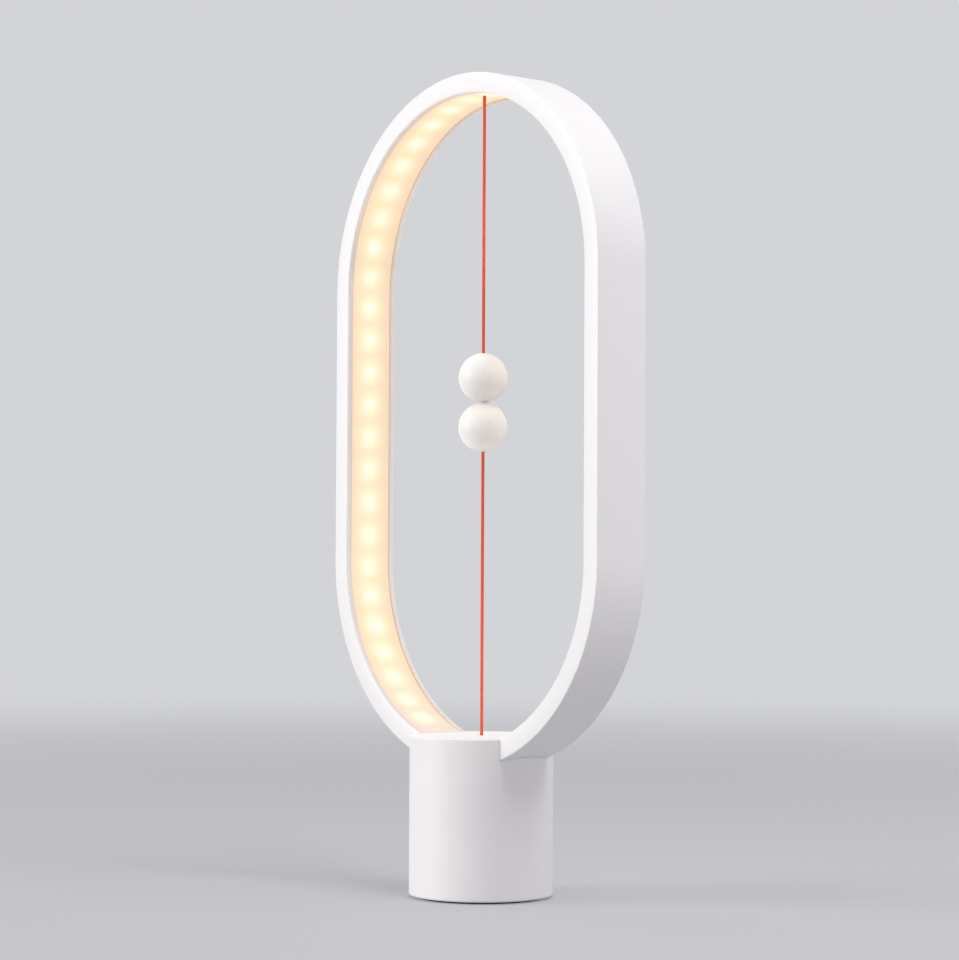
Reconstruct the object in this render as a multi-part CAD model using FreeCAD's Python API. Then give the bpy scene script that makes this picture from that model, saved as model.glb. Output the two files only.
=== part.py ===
import FreeCAD, Part
import math
import os

# Magnetic balance lamp, in millimetres: +Z up, +X along the loop's width, -Y the front.
# The origin is the centre of the foot, on the table.
# The lamp is modelled switched on: each magnetic ball holds the other up across a small gap.

V = FreeCAD.Vector
ORIGIN = V(0, 0, 0)
X_AXIS = V(1, 0, 0)
Y_AXIS = V(0, 1, 0)
Z_AXIS = V(0, 0, 1)

# ---- Driving dimensions: outline ----
HEIGHT = 400.0            # table to the top of the loop
LOOP_WIDTH = 200.0        # loop, left to right
LOOP_DEPTH = 30.0         # loop, front to rear
BAND = 10.0               # thickness of the loop's band, seen from the front
BASE_DIAMETER = 70.0
BASE_TOP = 78.0           # table to the flat top of the base
LOOP_SINK = 15.0          # lowest point of the loop's outline, below that top

# ---- Driving dimensions: loop casing ----
SIDE_WALL = 2.0           # front wall and rear cover
RIM_WALL = 1.8            # outer wall of the band
LIP_WIDTH = 3.0           # white border on each side of the light
LIP_STEP = 0.8            # how far the diffuser lies below the lips
LIP_BACK = 1.0            # ledge behind the diffuser's edge
LOOP_EDGE_ROUND = 0.6
LOOP_END_X = 17.0         # the band's two ends stop this far from the axis, inside the base
DIFFUSER_THICKNESS = 1.4
DIFFUSER_SHY = 0.4        # the diffuser's ends stop short of the band's ends
SNAP_WIDTH = 8.0          # snap tabs that hold the rear cover
SNAP_PITCH = 62.0
SNAP_DEPTH = 4.0
SNAP_THICKNESS = 1.75
SNAP_BUMP = 0.3
SNAP_BUMP_LENGTH = 1.2
END_PLUG_SHY = 0.6        # end plugs stop short of the band's ends
END_PLUG_INSET = 2.5      # and of the base's inner wall
END_PLUG_NOTCH = 2.2      # depth of their notch for the wires
ANCHOR_WIDTH = 5.0        # beam that the upper cord's knot rests on

# ---- Driving dimensions: lighting ----
LED_PITCH = 16.6          # sixty to the metre
LED_FIRST_RIGHT = 5.0     # first chip to the right of the upper cord
STRIP_WIDTH = 8.0
STRIP_THICKNESS = 0.3
STRIP_SHY = 0.5           # the strip's ends reach past the base's inner wall by this much
CHIP_LENGTH = 3.5
CHIP_WIDTH = 2.8
CHIP_HEIGHT = 1.9
CHIP_SHY = 3.0            # last chip to the strip's end

# ---- Driving dimensions: balls and cords ----
CORD_DIAMETER = 1.6
CORD_KNOT_DIAMETER = 2.6  # knots at the cords' far ends
BALL_DIAMETER = 24.0
BALL_GAP = 1.1            # air gap that the magnets hold across
BALLS_MIDDLE = 240.15     # height of the middle of that gap
BALL_PLUG_DEPTH = 5.0
BALL_KNOT_DIAMETER = 3.4
MAGNET_DIAMETER = 9.0
MAGNET_THICKNESS = 4.3
MAGNET_COVER = 2.2        # ball wall between the magnet and the other ball
MAGNET_CHAMFER = 0.3

# ---- Driving dimensions: base casing ----
BASE_WALL = 2.0
BASE_DECK = 2.5           # thickness of the flat top
BASE_FOOT_ROUND = 1.0
BASE_TOP_ROUND = 0.6
RIB = 1.8                 # thickness of ribs
POST_WALL = 2.25          # wall round a screw's bore in the base's posts
POST_X = 10.0             # posts that hang from the flat top, beside the loop
POST_SIDE = 8.0           # their distance from the loop's faces
BOSS_INSET = 6.0          # foot bosses, from the inner wall
BOSS_ANGLES = (-90, 30, 150)
PAD_RIM = 4.0             # housing and plate left bare round the soft pad
PAD_STAND = 1.0           # how far the soft pad lifts the housing
PAD_THICKNESS = 1.6
PAD_ROUND = 0.3
PLATE_THICKNESS = 3.0
STANDOFF_INSET = 9.0      # board standoffs, inward from the foot bosses
STANDOFF_WALL = 1.65
BRIDGE_POST_X = 12.0      # posts under the flat strip between the loop's legs
BRIDGE_BLUNT = 1.0        # that strip's thin edges are cut back by this much
BRIDGE_RIB_DEPTH = 2.0
BUSH_DIAMETER = 4.0
BUSH_FLANGE_DIAMETER = 5.6
BUSH_FLANGE = 0.8
BUSH_DROP = 2.0           # bush below the flat top's underside
BUSH_ROUND = 0.5
BUSH_WALL = 2.0           # boss round the bush

# ---- Driving dimensions: power inlet ----
PORT_WIDTH = 12.0         # recess round the inlet
PORT_HEIGHT = 8.0
PORT_DEPTH = 5.0
PORT_WALL = 1.4
PORT_CORNER = 1.5
INLET_WIDTH = 7.5
INLET_HEIGHT = 2.5
INLET_LENGTH = 5.5
INLET_WALL = 0.3
INLET_BACK = 1.0
INLET_ROUND = 0.5
TONGUE_WIDTH = 3.9
TONGUE_THICKNESS = 0.6
TONGUE_SHY = 0.6

# ---- Driving dimensions: board ----
BOARD_LIFT = 5.0
BOARD_THICKNESS = 1.6
BOARD_INSET = 3.5         # board's edge, from the inner wall
BOARD_ROOM = 11.4         # room over the board for its components
DRIVER_X = 7.0
DRIVER_Y = 3.0
DRIVER_WIDTH = 4.0
DRIVER_LENGTH = 5.0
DRIVER_HEIGHT = 1.5
DRIVER_STAND = 0.2
DRIVER_LEG = 0.9
DRIVER_LEG_WIDTH = 0.4
DRIVER_LEG_PITCH = 1.27
INDUCTOR_X = -7.0
INDUCTOR_Y = 15.0
INDUCTOR_DIAMETER = 8.0
INDUCTOR_NECK = 6.4
INDUCTOR_HEIGHT = 5.0
INDUCTOR_FLANGE = 1.0
CAPACITOR_X = 13.0
CAPACITOR_Y = -7.0
CAPACITOR_DIAMETER = 6.3
CAPACITOR_HEIGHT = 7.0
CAPACITOR_GROOVE = 0.35   # radius of the rolled groove near the can's foot
CAPACITOR_GROOVE_Z = 1.4

# ---- Driving dimensions: ballast and cradle ----
BALLAST_ROOM = 0.9        # switch's blades above the ballast
BALLAST_INSET = 2.0       # ballast's edge, from the inner wall
BALLAST_CHAMFER = 1.0
BALLAST_SLOT_GAP = 0.54   # round the wires in the ballast's slot
BALLAST_SLOT_RUN = 8.0
BALLAST_COUNTERBORE = 3.0
PILLAR_INSET = 7.0        # cradle's pillars, inward from the ballast's edge
PILLAR_ANGLES = (90, 220, 320)
DECK_THICKNESS = 2.5
DECK_DROP = 4.0           # top of the cradle's deck below the loop's foot
DECK_INSET = 3.0          # deck's edge, from the inner wall
ARM_INSET = 0.4           # arms under the loop, from the inner wall
ARM_SHY = 0.7             # arms are narrower than the loop on each side
ARM_WALL = 3.0
ARM_POCKET_RISE = 2.0     # pocket roof above the deck, where the loop's screws sit
LOOP_SCREW_GAP = 0.7      # loop's screws, beside the wires

# ---- Driving dimensions: pull switch ----
PLUNGER_TRAVEL = 3.0
PLUNGER_BORE = 4.05       # radius of the guide's bore
STOP_GAP = 0.3            # plunger's flange above the retainer when the cord is slack
GUIDE_RADIUS = 6.5
GUIDE_CEILING = 1.5
GUIDE_HEADROOM = 3.0      # guide's top below the base's flat top
GUIDE_DROP = 0.7          # guide's foot below the deck
GUIDE_EAR = 1.5
GUIDE_EAR_R = 2.6
GUIDE_EAR_REACH = 4.0     # ear screws, outward from the guide
RETAINER_THICKNESS = 1.4
RETAINER_LEDGE = 1.15     # retainer is wider than the bore on each side
FLANGE_THICKNESS = 1.7
STEM_RADIUS = 1.5
NIPPLE_ROOM = 0.15        # round the knot in its chamber
CHAMBER_WALL = 0.6
CHAMBER_FLOOR = 0.3
CHAMBER_ROOF = 1.0
SPRING_WIRE = 0.7
SPRING_COIL = 6.0         # mean diameter
SPRING_TURNS = 5.5
LEVER_REACH = 14.0        # lever pivot to the plunger's axis
LEVER_OVERHANG = 2.6
LEVER_REST_DEG = 12.0     # how far the free lever stands up
LEVER_THICKNESS = 0.4
LEVER_ROLL_R = 0.7        # rolled eye round the pin
PIN_R = 0.4
SWITCH_LENGTH = 12.8
SWITCH_WIDTH = 5.8
SWITCH_HEIGHT = 6.5
SWITCH_LEAD = 2.5         # switch body in front of the lever's pivot
SWITCH_EAR = 0.65
SWITCH_EAR_HALF = 1.0
SWITCH_EAR_RISE = 0.9
LEVER_CLEAR = 0.5         # lever's pivot above the switch's top, beyond the lever itself
BUTTON_RADIUS = 0.9
BUTTON_REACH = 3.5        # lever pivot to the button
BUTTON_DEPTH = 2.6
BUTTON_WELL = 3.8
TERMINAL_PITCH = 4.9
TERMINAL_LENGTH = 3.4
TERMINAL_WIDTH = 2.2
TERMINAL_THICKNESS = 0.5
TERMINAL_EYE_R = 0.5
SWITCH_HOLE_PITCH = 6.5
SWITCH_HOLE_LIFT = 1.6
BRACKET_PLATE = 1.5
BRACKET_LEAD = 0.5        # bracket in front of the switch
BRACKET_EDGE = 2.6        # bracket beyond its screw
BRACKET_SCREW_GAP = 0.65   # bracket's screw head, beside its upright
BRACKET_SCREW_Y = -11.5
BRACKET_BOSS_R = 2.4
BRACKET_BOSS_RISE = 3.0

# ---- Driving dimensions: wires ----
WIRE_DIAMETER = 1.1
WIRE_PITCH = 1.5
WIRE_HOLE_R = 2.0
WIRE_INSET = 1.6          # where the pair turns down through the deck, inward from the band's end
WIRE_Y = 3.75
WIRE_DROP_X = -3.0        # where it passes the ballast
WIRE_BEND = 1.6
WIRE_LEAD = 1.5           # tinned end on the strip
WIRE_SWERVE_TOP = 8.0     # above the ballast
WIRE_SWERVE_LOW = 3.0

# ---- Clearances ----
GAP = 0.1                 # parts that drop into each other
SEAT = 0.05               # curved faces that rest on each other
THREAD_FIT = 0.02         # screw core in its bore, pressed bush and washer
HOLE_FIT = 0.25           # screw shank, or cord, in a through hole
TOUCH = 0.08              # plunger, lever and button
EASE = 0.2                # neighbours that must never bind
INLET_FIT = 0.3           # inlet in its slot
LAP = 0.5                 # how far a post or rib runs into the wall that it grows from
PICK = 0.01               # tolerance when edges are picked by place

# ---- Fasteners: core radius, head radius, head height ----
M2 = (0.95, 1.9, 1.3)
M26 = (1.25, 2.4, 1.3)
M3 = (1.45, 2.6, 2.2)
LOOP_SCREW_SKIN = 1.5     # end plug left above the loop's screws
CRADLE_GRIP = 8.5         # how far each screw reaches into the part that it holds to
BRIDGE_GRIP = 6.5
PLATE_GRIP = 8.0
BALLAST_GRIP = 10.0
BOARD_GRIP = 2.9
GUIDE_GRIP = 2.1
BRACKET_GRIP = 3.5
BORE_RUNOUT = 1.0         # bore beyond the screw's tip

# ---- Worked out: loop ----
LOOP_R = LOOP_WIDTH / 2
INNER_R = LOOP_R - BAND
HALF_DEPTH = LOOP_DEPTH / 2
UPPER_CENTRE = HEIGHT - LOOP_R
LOOP_FOOT = BASE_TOP - LOOP_SINK
LOWER_CENTRE = LOOP_FOOT + LOOP_R
STRAIGHT = UPPER_CENTRE - LOWER_CENTRE
LIP_INSIDE = HALF_DEPTH - LIP_WIDTH
WALL_INSIDE = HALF_DEPTH - SIDE_WALL
DIFFUSER_R = INNER_R + LIP_STEP
DIFFUSER_BACK = DIFFUSER_R + DIFFUSER_THICKNESS
LIP_BACK_R = DIFFUSER_BACK + LIP_BACK
RIM_INSIDE = LOOP_R - RIM_WALL
COVER_R = RIM_INSIDE - GAP
SNAP_Y = WALL_INSIDE - SNAP_DEPTH
STRIP_R = RIM_INSIDE - STRIP_THICKNESS
CHIP_FRONT_R = STRIP_R - CHIP_HEIGHT
ANCHOR_LOW = UPPER_CENTRE + LIP_BACK_R + SEAT

# ---- Worked out: balls and cords ----
CORD_R = CORD_DIAMETER / 2
CORD_HOLE_R = CORD_R + HOLE_FIT
KNOT_R = CORD_KNOT_DIAMETER / 2
ANCHOR_TOP = UPPER_CENTRE + STRIP_R - EASE - 2 * KNOT_R
BALL_R = BALL_DIAMETER / 2
BALL_KNOT_R = BALL_KNOT_DIAMETER / 2
MAGNET_R = MAGNET_DIAMETER / 2
MAGNET_FLOOR = MAGNET_COVER - BALL_R
PLUG_INSIDE = BALL_R - BALL_PLUG_DEPTH
UPPER_BALL_Z = BALLS_MIDDLE + BALL_GAP / 2 + BALL_R
LOWER_BALL_Z = BALLS_MIDDLE - BALL_GAP / 2 - BALL_R
UPPER_PIVOT_Z = UPPER_CENTRE + DIFFUSER_R - CORD_R - GAP
LOWER_PIVOT_Z = BASE_TOP + CORD_R

# ---- Worked out: base ----
BASE_R = BASE_DIAMETER / 2
CAVITY_R = BASE_R - BASE_WALL
DECK_ROOF = BASE_TOP - BASE_DECK
PAD_R = BASE_R - PAD_RIM
PLATE_TOP = PAD_STAND + PLATE_THICKNESS
PLATE_SCREW_SEAT = PAD_THICKNESS + M26[2] + GAP
BOARD_Z = PLATE_TOP + BOARD_LIFT
BOARD_TOP = BOARD_Z + BOARD_THICKNESS
BALLAST_Z = BOARD_TOP + BOARD_ROOM
BALLAST_R = CAVITY_R - BALLAST_INSET
CRADLE_TOP = LOOP_FOOT - DECK_DROP
CRADLE_LOW = CRADLE_TOP - DECK_THICKNESS
ARM_HALF = HALF_DEPTH - ARM_SHY
ARM_POCKET_ROOF = CRADLE_TOP + ARM_POCKET_RISE
POST_R = M26[0] + POST_WALL
PILLAR_R = M3[0] + POST_WALL
BRIDGE_POST_R = M26[0] + STANDOFF_WALL
STANDOFF_R = M2[0] + STANDOFF_WALL
BUSH_R = BUSH_DIAMETER / 2
BUSH_FLANGE_R = BUSH_FLANGE_DIAMETER / 2
BUSH_LOW = DECK_ROOF - BUSH_DROP
PORT_Z = BOARD_TOP + INLET_HEIGHT / 2
PORT_FLOOR = BASE_R - PORT_DEPTH
COLLAR_FACE = PORT_FLOOR - PORT_WALL
COLLAR_HALF_WIDTH = PORT_WIDTH / 2 + PORT_WALL
COLLAR_HALF_HEIGHT = PORT_HEIGHT / 2 + PORT_WALL

# ---- Worked out: pull switch ----
GUIDE_TOP = DECK_ROOF - GUIDE_HEADROOM
GUIDE_LOW = CRADLE_LOW - GUIDE_DROP
GUIDE_SCREW_Y = GUIDE_RADIUS + GUIDE_EAR_REACH
RETAINER_R = PLUNGER_BORE + RETAINER_LEDGE
RETAINER_TOP = GUIDE_LOW + RETAINER_THICKNESS
FLANGE_Z = RETAINER_TOP + STOP_GAP + PLUNGER_TRAVEL
FLANGE_TOP = FLANGE_Z + FLANGE_THICKNESS
SPRING_TOP = GUIDE_TOP - GUIDE_CEILING
CHAMBER_R = KNOT_R + NIPPLE_ROOM
CHAMBER_LOW = FLANGE_TOP + CHAMBER_FLOOR
NIPPLE_Z = CHAMBER_LOW + CHAMBER_FLOOR + KNOT_R
CHAMBER_TOP = NIPPLE_Z + KNOT_R
PLUNGER_TOP = CHAMBER_TOP + CHAMBER_ROOF
TIP_Z = GUIDE_LOW - STEM_RADIUS
LEVER_TILT = math.radians(LEVER_REST_DEG)
LEVER_RISE = (STEM_RADIUS + TOUCH + LEVER_REACH * math.sin(LEVER_TILT)) / math.cos(LEVER_TILT)
PIVOT_Y = -LEVER_REACH
PIVOT_Z = TIP_Z - LEVER_RISE
SWITCH_TOP = PIVOT_Z - LEVER_THICKNESS - LEVER_CLEAR
SWITCH_LOW = SWITCH_TOP - SWITCH_HEIGHT
LEVER_WIDTH = SWITCH_WIDTH - 2 * (SWITCH_EAR + EASE)
SWITCH_FRONT = PIVOT_Y - SWITCH_LEAD
SWITCH_REAR = SWITCH_FRONT + SWITCH_LENGTH
SWITCH_MIDDLE = (SWITCH_FRONT + SWITCH_REAR) / 2
SWITCH_SCREWS_Y = (SWITCH_MIDDLE - SWITCH_HOLE_PITCH / 2, SWITCH_MIDDLE + SWITCH_HOLE_PITCH / 2)
SWITCH_SCREW_Z = SWITCH_LOW + SWITCH_HOLE_LIFT
TERMINALS_Y = (SWITCH_MIDDLE - TERMINAL_PITCH, SWITCH_MIDDLE, SWITCH_MIDDLE + TERMINAL_PITCH)
TERMINAL_LOW = SWITCH_LOW - TERMINAL_LENGTH
BALLAST_TOP = TERMINAL_LOW - BALLAST_ROOM
BUTTON_Y = PIVOT_Y + BUTTON_REACH
BRACKET_X = SWITCH_WIDTH / 2 + SEAT
BRACKET_OUTSIDE = BRACKET_X + BRACKET_PLATE
BRACKET_SCREW_X = BRACKET_OUTSIDE + M2[1] + BRACKET_SCREW_GAP
BRACKET_FRONT = SWITCH_FRONT - BRACKET_LEAD
WIRE_R = WIRE_DIAMETER / 2
BALLAST_SLOT = math.hypot(WIRE_DROP_X, WIRE_Y + WIRE_PITCH / 2) + WIRE_R + BALLAST_SLOT_GAP    # half width
WIRE_X = WIRE_INSET - LOOP_END_X
WIRE_REACH = WIRE_PITCH / 2 + WIRE_R    # half the pair's width

# Screw lengths under the head
CRADLE_SCREW = DECK_THICKNESS + CRADLE_GRIP
BRIDGE_SCREW = DECK_THICKNESS + BRIDGE_GRIP
PLATE_SCREW = PLATE_TOP - PLATE_SCREW_SEAT + PLATE_GRIP
BALLAST_SCREW = BALLAST_TOP - BALLAST_Z - BALLAST_COUNTERBORE + BALLAST_GRIP
BOARD_SCREW = BOARD_THICKNESS + BOARD_GRIP
GUIDE_SCREW = GUIDE_EAR + GUIDE_GRIP
BRACKET_SCREW = BRACKET_PLATE + BRACKET_GRIP


# ---- Shape helpers ----
def cylinder(radius, low, high, x=0.0, y=0.0):
    return Part.makeCylinder(radius, high - low, V(x, y, low))


def box(x0, x1, y0, y1, z0, z1):
    return Part.makeBox(x1 - x0, y1 - y0, z1 - z0, V(x0, y0, z0))


def side_box(side, near, far, y0, y1, z0, z1):
    """A box between two distances from the middle, on the left (-1) or the right (1)."""
    x0, x1 = sorted((side * near, side * far))
    return box(x0, x1, y0, y1, z0, z1)


def across(radius, x0, x1, y, z):
    """Round bar along X."""
    return Part.makeCylinder(radius, x1 - x0, V(x0, y, z), X_AXIS)


def fuse(shapes):
    return shapes[0].multiFuse(shapes[1:]).removeSplitter()


def bored(shape, radius, low, high, places):
    """Cuts the same upright hole at several places."""
    for x, y in places:
        shape = shape.cut(cylinder(radius, low, high, x, y))
    return shape


def on_circle(radius, angles):
    return [(radius * math.cos(math.radians(a)), radius * math.sin(math.radians(a))) for a in angles]


def four_corners(x, y):
    return [(sx * x, sy * y) for sx in (-1, 1) for sy in (-1, 1)]


def rims(shape):
    """Edges that are full circles."""
    return [e for e in shape.Edges if len(e.Vertexes) == 1]


def level_edges(shape, z):
    """Edges that lie flat at one height."""
    return [e for e in shape.Edges if abs(e.BoundBox.ZMin - z) < PICK and abs(e.BoundBox.ZMax - z) < PICK]


def long_edges(shape, length):
    """Edges that run front to rear for at least a given length."""
    return [e for e in shape.Edges if e.BoundBox.YLength > length]


def lower_drum(radius, half_depth):
    """The round form of the loop's lower end, as a solid drum across the lamp."""
    return Part.makeCylinder(radius, 2 * half_depth, V(0, -half_depth, LOWER_CENTRE), Y_AXIS)


def drum_height(radius, x):
    """Height of that drum's lower surface at a distance from the middle."""
    return LOWER_CENTRE - math.sqrt(radius ** 2 - x ** 2)


# ---- The loop's path ----
def stadium(radius, y):
    """The loop's outline at one radius: two straight sides and two half circles."""
    left_top = V(-radius, y, UPPER_CENTRE)
    right_top = V(radius, y, UPPER_CENTRE)
    right_low = V(radius, y, LOWER_CENTRE)
    left_low = V(-radius, y, LOWER_CENTRE)
    upper_arc = Part.Arc(left_top, V(0, y, UPPER_CENTRE + radius), right_top).toShape()
    lower_arc = Part.Arc(right_low, V(0, y, LOWER_CENTRE - radius), left_low).toShape()
    right_side = Part.makeLine(right_top, right_low)
    left_side = Part.makeLine(left_low, left_top)
    return Part.Face(Part.Wire([upper_arc, right_side, lower_arc, left_side]))


def ring(inside, outside, y0, y1):
    """A closed band round the loop between two radii and two depths."""
    depth = V(0, y1 - y0, 0)
    return stadium(outside, y0).extrude(depth).cut(stadium(inside, y0).extrude(depth))


def open_foot(shape, half_width):
    """Opens a closed band at the bottom, where its ends stand inside the base."""
    return shape.cut(box(-half_width, half_width, -LOOP_DEPTH, LOOP_DEPTH, 0, LOWER_CENTRE))


def outline_edges(shape, radius, y):
    """Edges of a band's outline at one radius, in one plane across the lamp."""
    found = []
    for edge in shape.Edges:
        corner = edge.Vertexes[0].Point
        level = min(max(corner.z, LOWER_CENTRE), UPPER_CENTRE)
        reach = math.hypot(corner.x, corner.z - level)
        flat = abs(edge.BoundBox.YMin - y) < PICK and abs(edge.BoundBox.YMax - y) < PICK
        if flat and abs(reach - radius) < PICK:
            found.append(edge)
    return found


def along_band(distance, radius):
    """Point and outward direction on the band, at a distance left of the top centre."""
    quarter = radius * math.pi / 2
    side = -1 if distance >= 0 else 1
    run = abs(distance)
    if run < quarter:
        angle = run / radius
        outward = V(side * math.sin(angle), 0, math.cos(angle))
        return V(0, 0, UPPER_CENTRE) + outward * radius, outward
    if run < quarter + STRAIGHT:
        return V(side * radius, 0, UPPER_CENTRE - (run - quarter)), V(side, 0, 0)
    angle = (run - quarter - STRAIGHT) / radius
    outward = V(side * math.cos(angle), 0, -math.sin(angle))
    return V(0, 0, LOWER_CENTRE) + outward * radius, outward


def band_block(distance, radius, length, y0, y1, inside, outside):
    """A small block set square to the band, from one radius to another."""
    point, outward = along_band(distance, radius)
    block = box(-length / 2, length / 2, y0, y1, inside - radius, outside - radius)
    block.rotate(ORIGIN, Y_AXIS, math.degrees(math.atan2(outward.x, outward.z)))
    block.translate(point)
    return block


# ---- Where the screws sit ----
LOOP_SCREW_X = (LOOP_END_X + END_PLUG_SHY + CAVITY_R - END_PLUG_INSET) / 2
LOOP_SCREW_Y = WIRE_Y + WIRE_REACH + LOOP_SCREW_GAP + M26[0]
LOOP_SCREW_TOP = drum_height(DIFFUSER_BACK, LOOP_SCREW_X) - LOOP_SCREW_SKIN
LOOP_SCREWS_AT = four_corners(LOOP_SCREW_X, LOOP_SCREW_Y)
CRADLE_SCREWS_AT = four_corners(POST_X, HALF_DEPTH + POST_SIDE)
BRIDGE_SCREWS_AT = [(-BRIDGE_POST_X, 0), (BRIDGE_POST_X, 0)]
GUIDE_SCREWS_AT = [(0, -GUIDE_SCREW_Y), (0, GUIDE_SCREW_Y)]
BALLAST_SCREWS_AT = on_circle(BALLAST_R - PILLAR_INSET, PILLAR_ANGLES)
PLATE_SCREWS_AT = on_circle(CAVITY_R - BOSS_INSET, BOSS_ANGLES)
BOARD_SCREWS_AT = on_circle(CAVITY_R - BOSS_INSET - STANDOFF_INSET, BOSS_ANGLES)
BRACKET_SCREW_AT = [(BRACKET_SCREW_X, BRACKET_SCREW_Y)]


def screw_up(size, x, y, seat, length):
    """Pan head screw driven upwards: its head bears on the seat from below."""
    core, head, height = size
    return fuse([cylinder(head, seat - height, seat, x, y), cylinder(core, seat, seat + length, x, y)])


def screw_down(size, x, y, seat, length):
    """Pan head screw driven downwards."""
    core, head, height = size
    return fuse([cylinder(head, seat, seat + height, x, y), cylinder(core, seat - length, seat, x, y)])


def screws(maker, size, places, seat, length):
    return Part.makeCompound([maker(size, x, y, seat, length) for x, y in places])


# ---- Loop ----
def lip(y0, y1):
    """Border beside the light, with the groove that holds the diffuser's edge."""
    groove = ring(DIFFUSER_R - SEAT, DIFFUSER_BACK + SEAT, y0, y1)
    return ring(INNER_R, LIP_BACK_R, y0, y1).cut(groove)


def loop_front_shell():
    """Front wall, outer wall and front lip in one moulding, with a groove for the cover's snaps."""
    shell = fuse([
        ring(INNER_R, LOOP_R, -HALF_DEPTH, -WALL_INSIDE),
        ring(RIM_INSIDE, LOOP_R, -HALF_DEPTH, HALF_DEPTH),
    ])
    sharp = outline_edges(shell, LOOP_R, -HALF_DEPTH) + outline_edges(shell, INNER_R, -HALF_DEPTH)
    shell = shell.makeFillet(LOOP_EDGE_ROUND, sharp)
    shell = shell.makeFillet(LOOP_EDGE_ROUND, outline_edges(shell, LOOP_R, HALF_DEPTH))
    shell = fuse([shell, lip(-WALL_INSIDE, -LIP_INSIDE)])
    groove_end = SNAP_Y + SNAP_BUMP_LENGTH + GAP
    shell = shell.cut(ring(RIM_INSIDE - SEAT, RIM_INSIDE + SNAP_BUMP + GAP, SNAP_Y - GAP, groove_end))
    shell = bored(shell, M26[0] + HOLE_FIT, CRADLE_TOP, LOWER_CENTRE - INNER_R, LOOP_SCREWS_AT)
    return open_foot(shell, LOOP_END_X)


def snap_distances():
    """Where the rear cover's snap tabs sit, to both sides of the top."""
    path = STRAIGHT + math.pi * RIM_INSIDE
    count = int(path / 2 / SNAP_PITCH)
    return [side * SNAP_PITCH * (i + 0.5) for i in range(count) for side in (-1, 1)]


def snap_tab(distance):
    """A springy tab and the bump that clicks into the front shell's groove."""
    root = WALL_INSIDE + SIDE_WALL / 2
    inside = COVER_R - SNAP_THICKNESS
    tab = band_block(distance, RIM_INSIDE, SNAP_WIDTH, SNAP_Y, root, inside, COVER_R - SEAT)
    bump = band_block(distance, RIM_INSIDE, SNAP_WIDTH, SNAP_Y, SNAP_Y + SNAP_BUMP_LENGTH,
                      inside, RIM_INSIDE + SNAP_BUMP - SEAT)
    return [tab, bump]


def loop_rear_cover():
    cover = ring(INNER_R, COVER_R, WALL_INSIDE, HALF_DEPTH)
    cover = cover.makeFillet(LOOP_EDGE_ROUND, outline_edges(cover, INNER_R, HALF_DEPTH))
    pieces = [cover, lip(LIP_INSIDE, WALL_INSIDE)]
    for distance in snap_distances():
        pieces += snap_tab(distance)
    return open_foot(fuse(pieces), LOOP_END_X)


def diffuser():
    """Frosted channel cover, held by its edges in the two lips."""
    edge = WALL_INSIDE - GAP
    cover = ring(DIFFUSER_R, DIFFUSER_BACK, -edge, edge)
    return open_foot(cover.cut(cylinder(CORD_HOLE_R, UPPER_CENTRE, HEIGHT)), LOOP_END_X + DIFFUSER_SHY)


def led_strip():
    strip = ring(STRIP_R, RIM_INSIDE - THREAD_FIT, -STRIP_WIDTH / 2, STRIP_WIDTH / 2)
    return open_foot(strip, CAVITY_R - STRIP_SHY)


def led_distances():
    """Chips run round the band at one pitch, between the strip's two ends."""
    end_x = CAVITY_R - STRIP_SHY + CHIP_SHY
    last = STRIP_R * math.pi / 2 + STRAIGHT + STRIP_R * math.acos(end_x / STRIP_R)
    first_left = LED_PITCH - LED_FIRST_RIGHT
    left = [first_left + i * LED_PITCH for i in range(int((last - first_left) / LED_PITCH) + 1)]
    right = [LED_FIRST_RIGHT + i * LED_PITCH for i in range(int((last - LED_FIRST_RIGHT) / LED_PITCH) + 1)]
    return left + [-distance for distance in right]


def led_chips():
    half = CHIP_WIDTH / 2
    back = STRIP_R - THREAD_FIT
    return Part.makeCompound([
        band_block(d, STRIP_R, CHIP_LENGTH, -half, half, CHIP_FRONT_R, back) for d in led_distances()])


def loop_end_plugs():
    """Solid blocks that stiffen the band's two ends and take the screws."""
    half = LIP_INSIDE - EASE
    outside = RIM_INSIDE - EASE
    notch_half = WIRE_REACH + SEAT
    notch = ring(outside - END_PLUG_NOTCH, RIM_INSIDE, WIRE_Y - notch_half, WIRE_Y + notch_half)
    body = ring(DIFFUSER_BACK + EASE, outside, -half, half).cut(notch)
    bore_top = LOOP_SCREW_TOP + LOOP_SCREW_SKIN / 4
    body = bored(body, M26[0] + THREAD_FIT, CRADLE_TOP, bore_top, LOOP_SCREWS_AT)
    return Part.makeCompound([
        body.common(side_box(side, LOOP_END_X + END_PLUG_SHY, CAVITY_R - END_PLUG_INSET,
                             -half, half, 0, LOWER_CENTRE)) for side in (-1, 1)])


# ---- Cords ----
def upper_cord_anchor():
    """Beam across the band that the upper cord's knot rests on."""
    half = ANCHOR_WIDTH / 2
    beam = box(-half, half, -WALL_INSIDE, WALL_INSIDE, ANCHOR_LOW, ANCHOR_TOP)
    return beam.cut(cylinder(CORD_R + GAP, ANCHOR_LOW, ANCHOR_TOP))


def upper_cord_knot():
    return Part.makeSphere(KNOT_R, V(0, 0, ANCHOR_TOP + KNOT_R))


def upper_cord_tail():
    """The stretch of cord inside the band, from its knot to the hole's mouth."""
    return cylinder(CORD_R, UPPER_PIVOT_Z + CORD_R + SEAT, ANCHOR_TOP)


def upper_cord_bend():
    """The short bit of cord that bends at the mouth of its hole."""
    return Part.makeSphere(CORD_R, V(0, 0, UPPER_PIVOT_Z))


def upper_cord():
    return cylinder(CORD_R, UPPER_BALL_Z + PLUG_INSIDE, UPPER_PIVOT_Z - CORD_R - SEAT)


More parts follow.
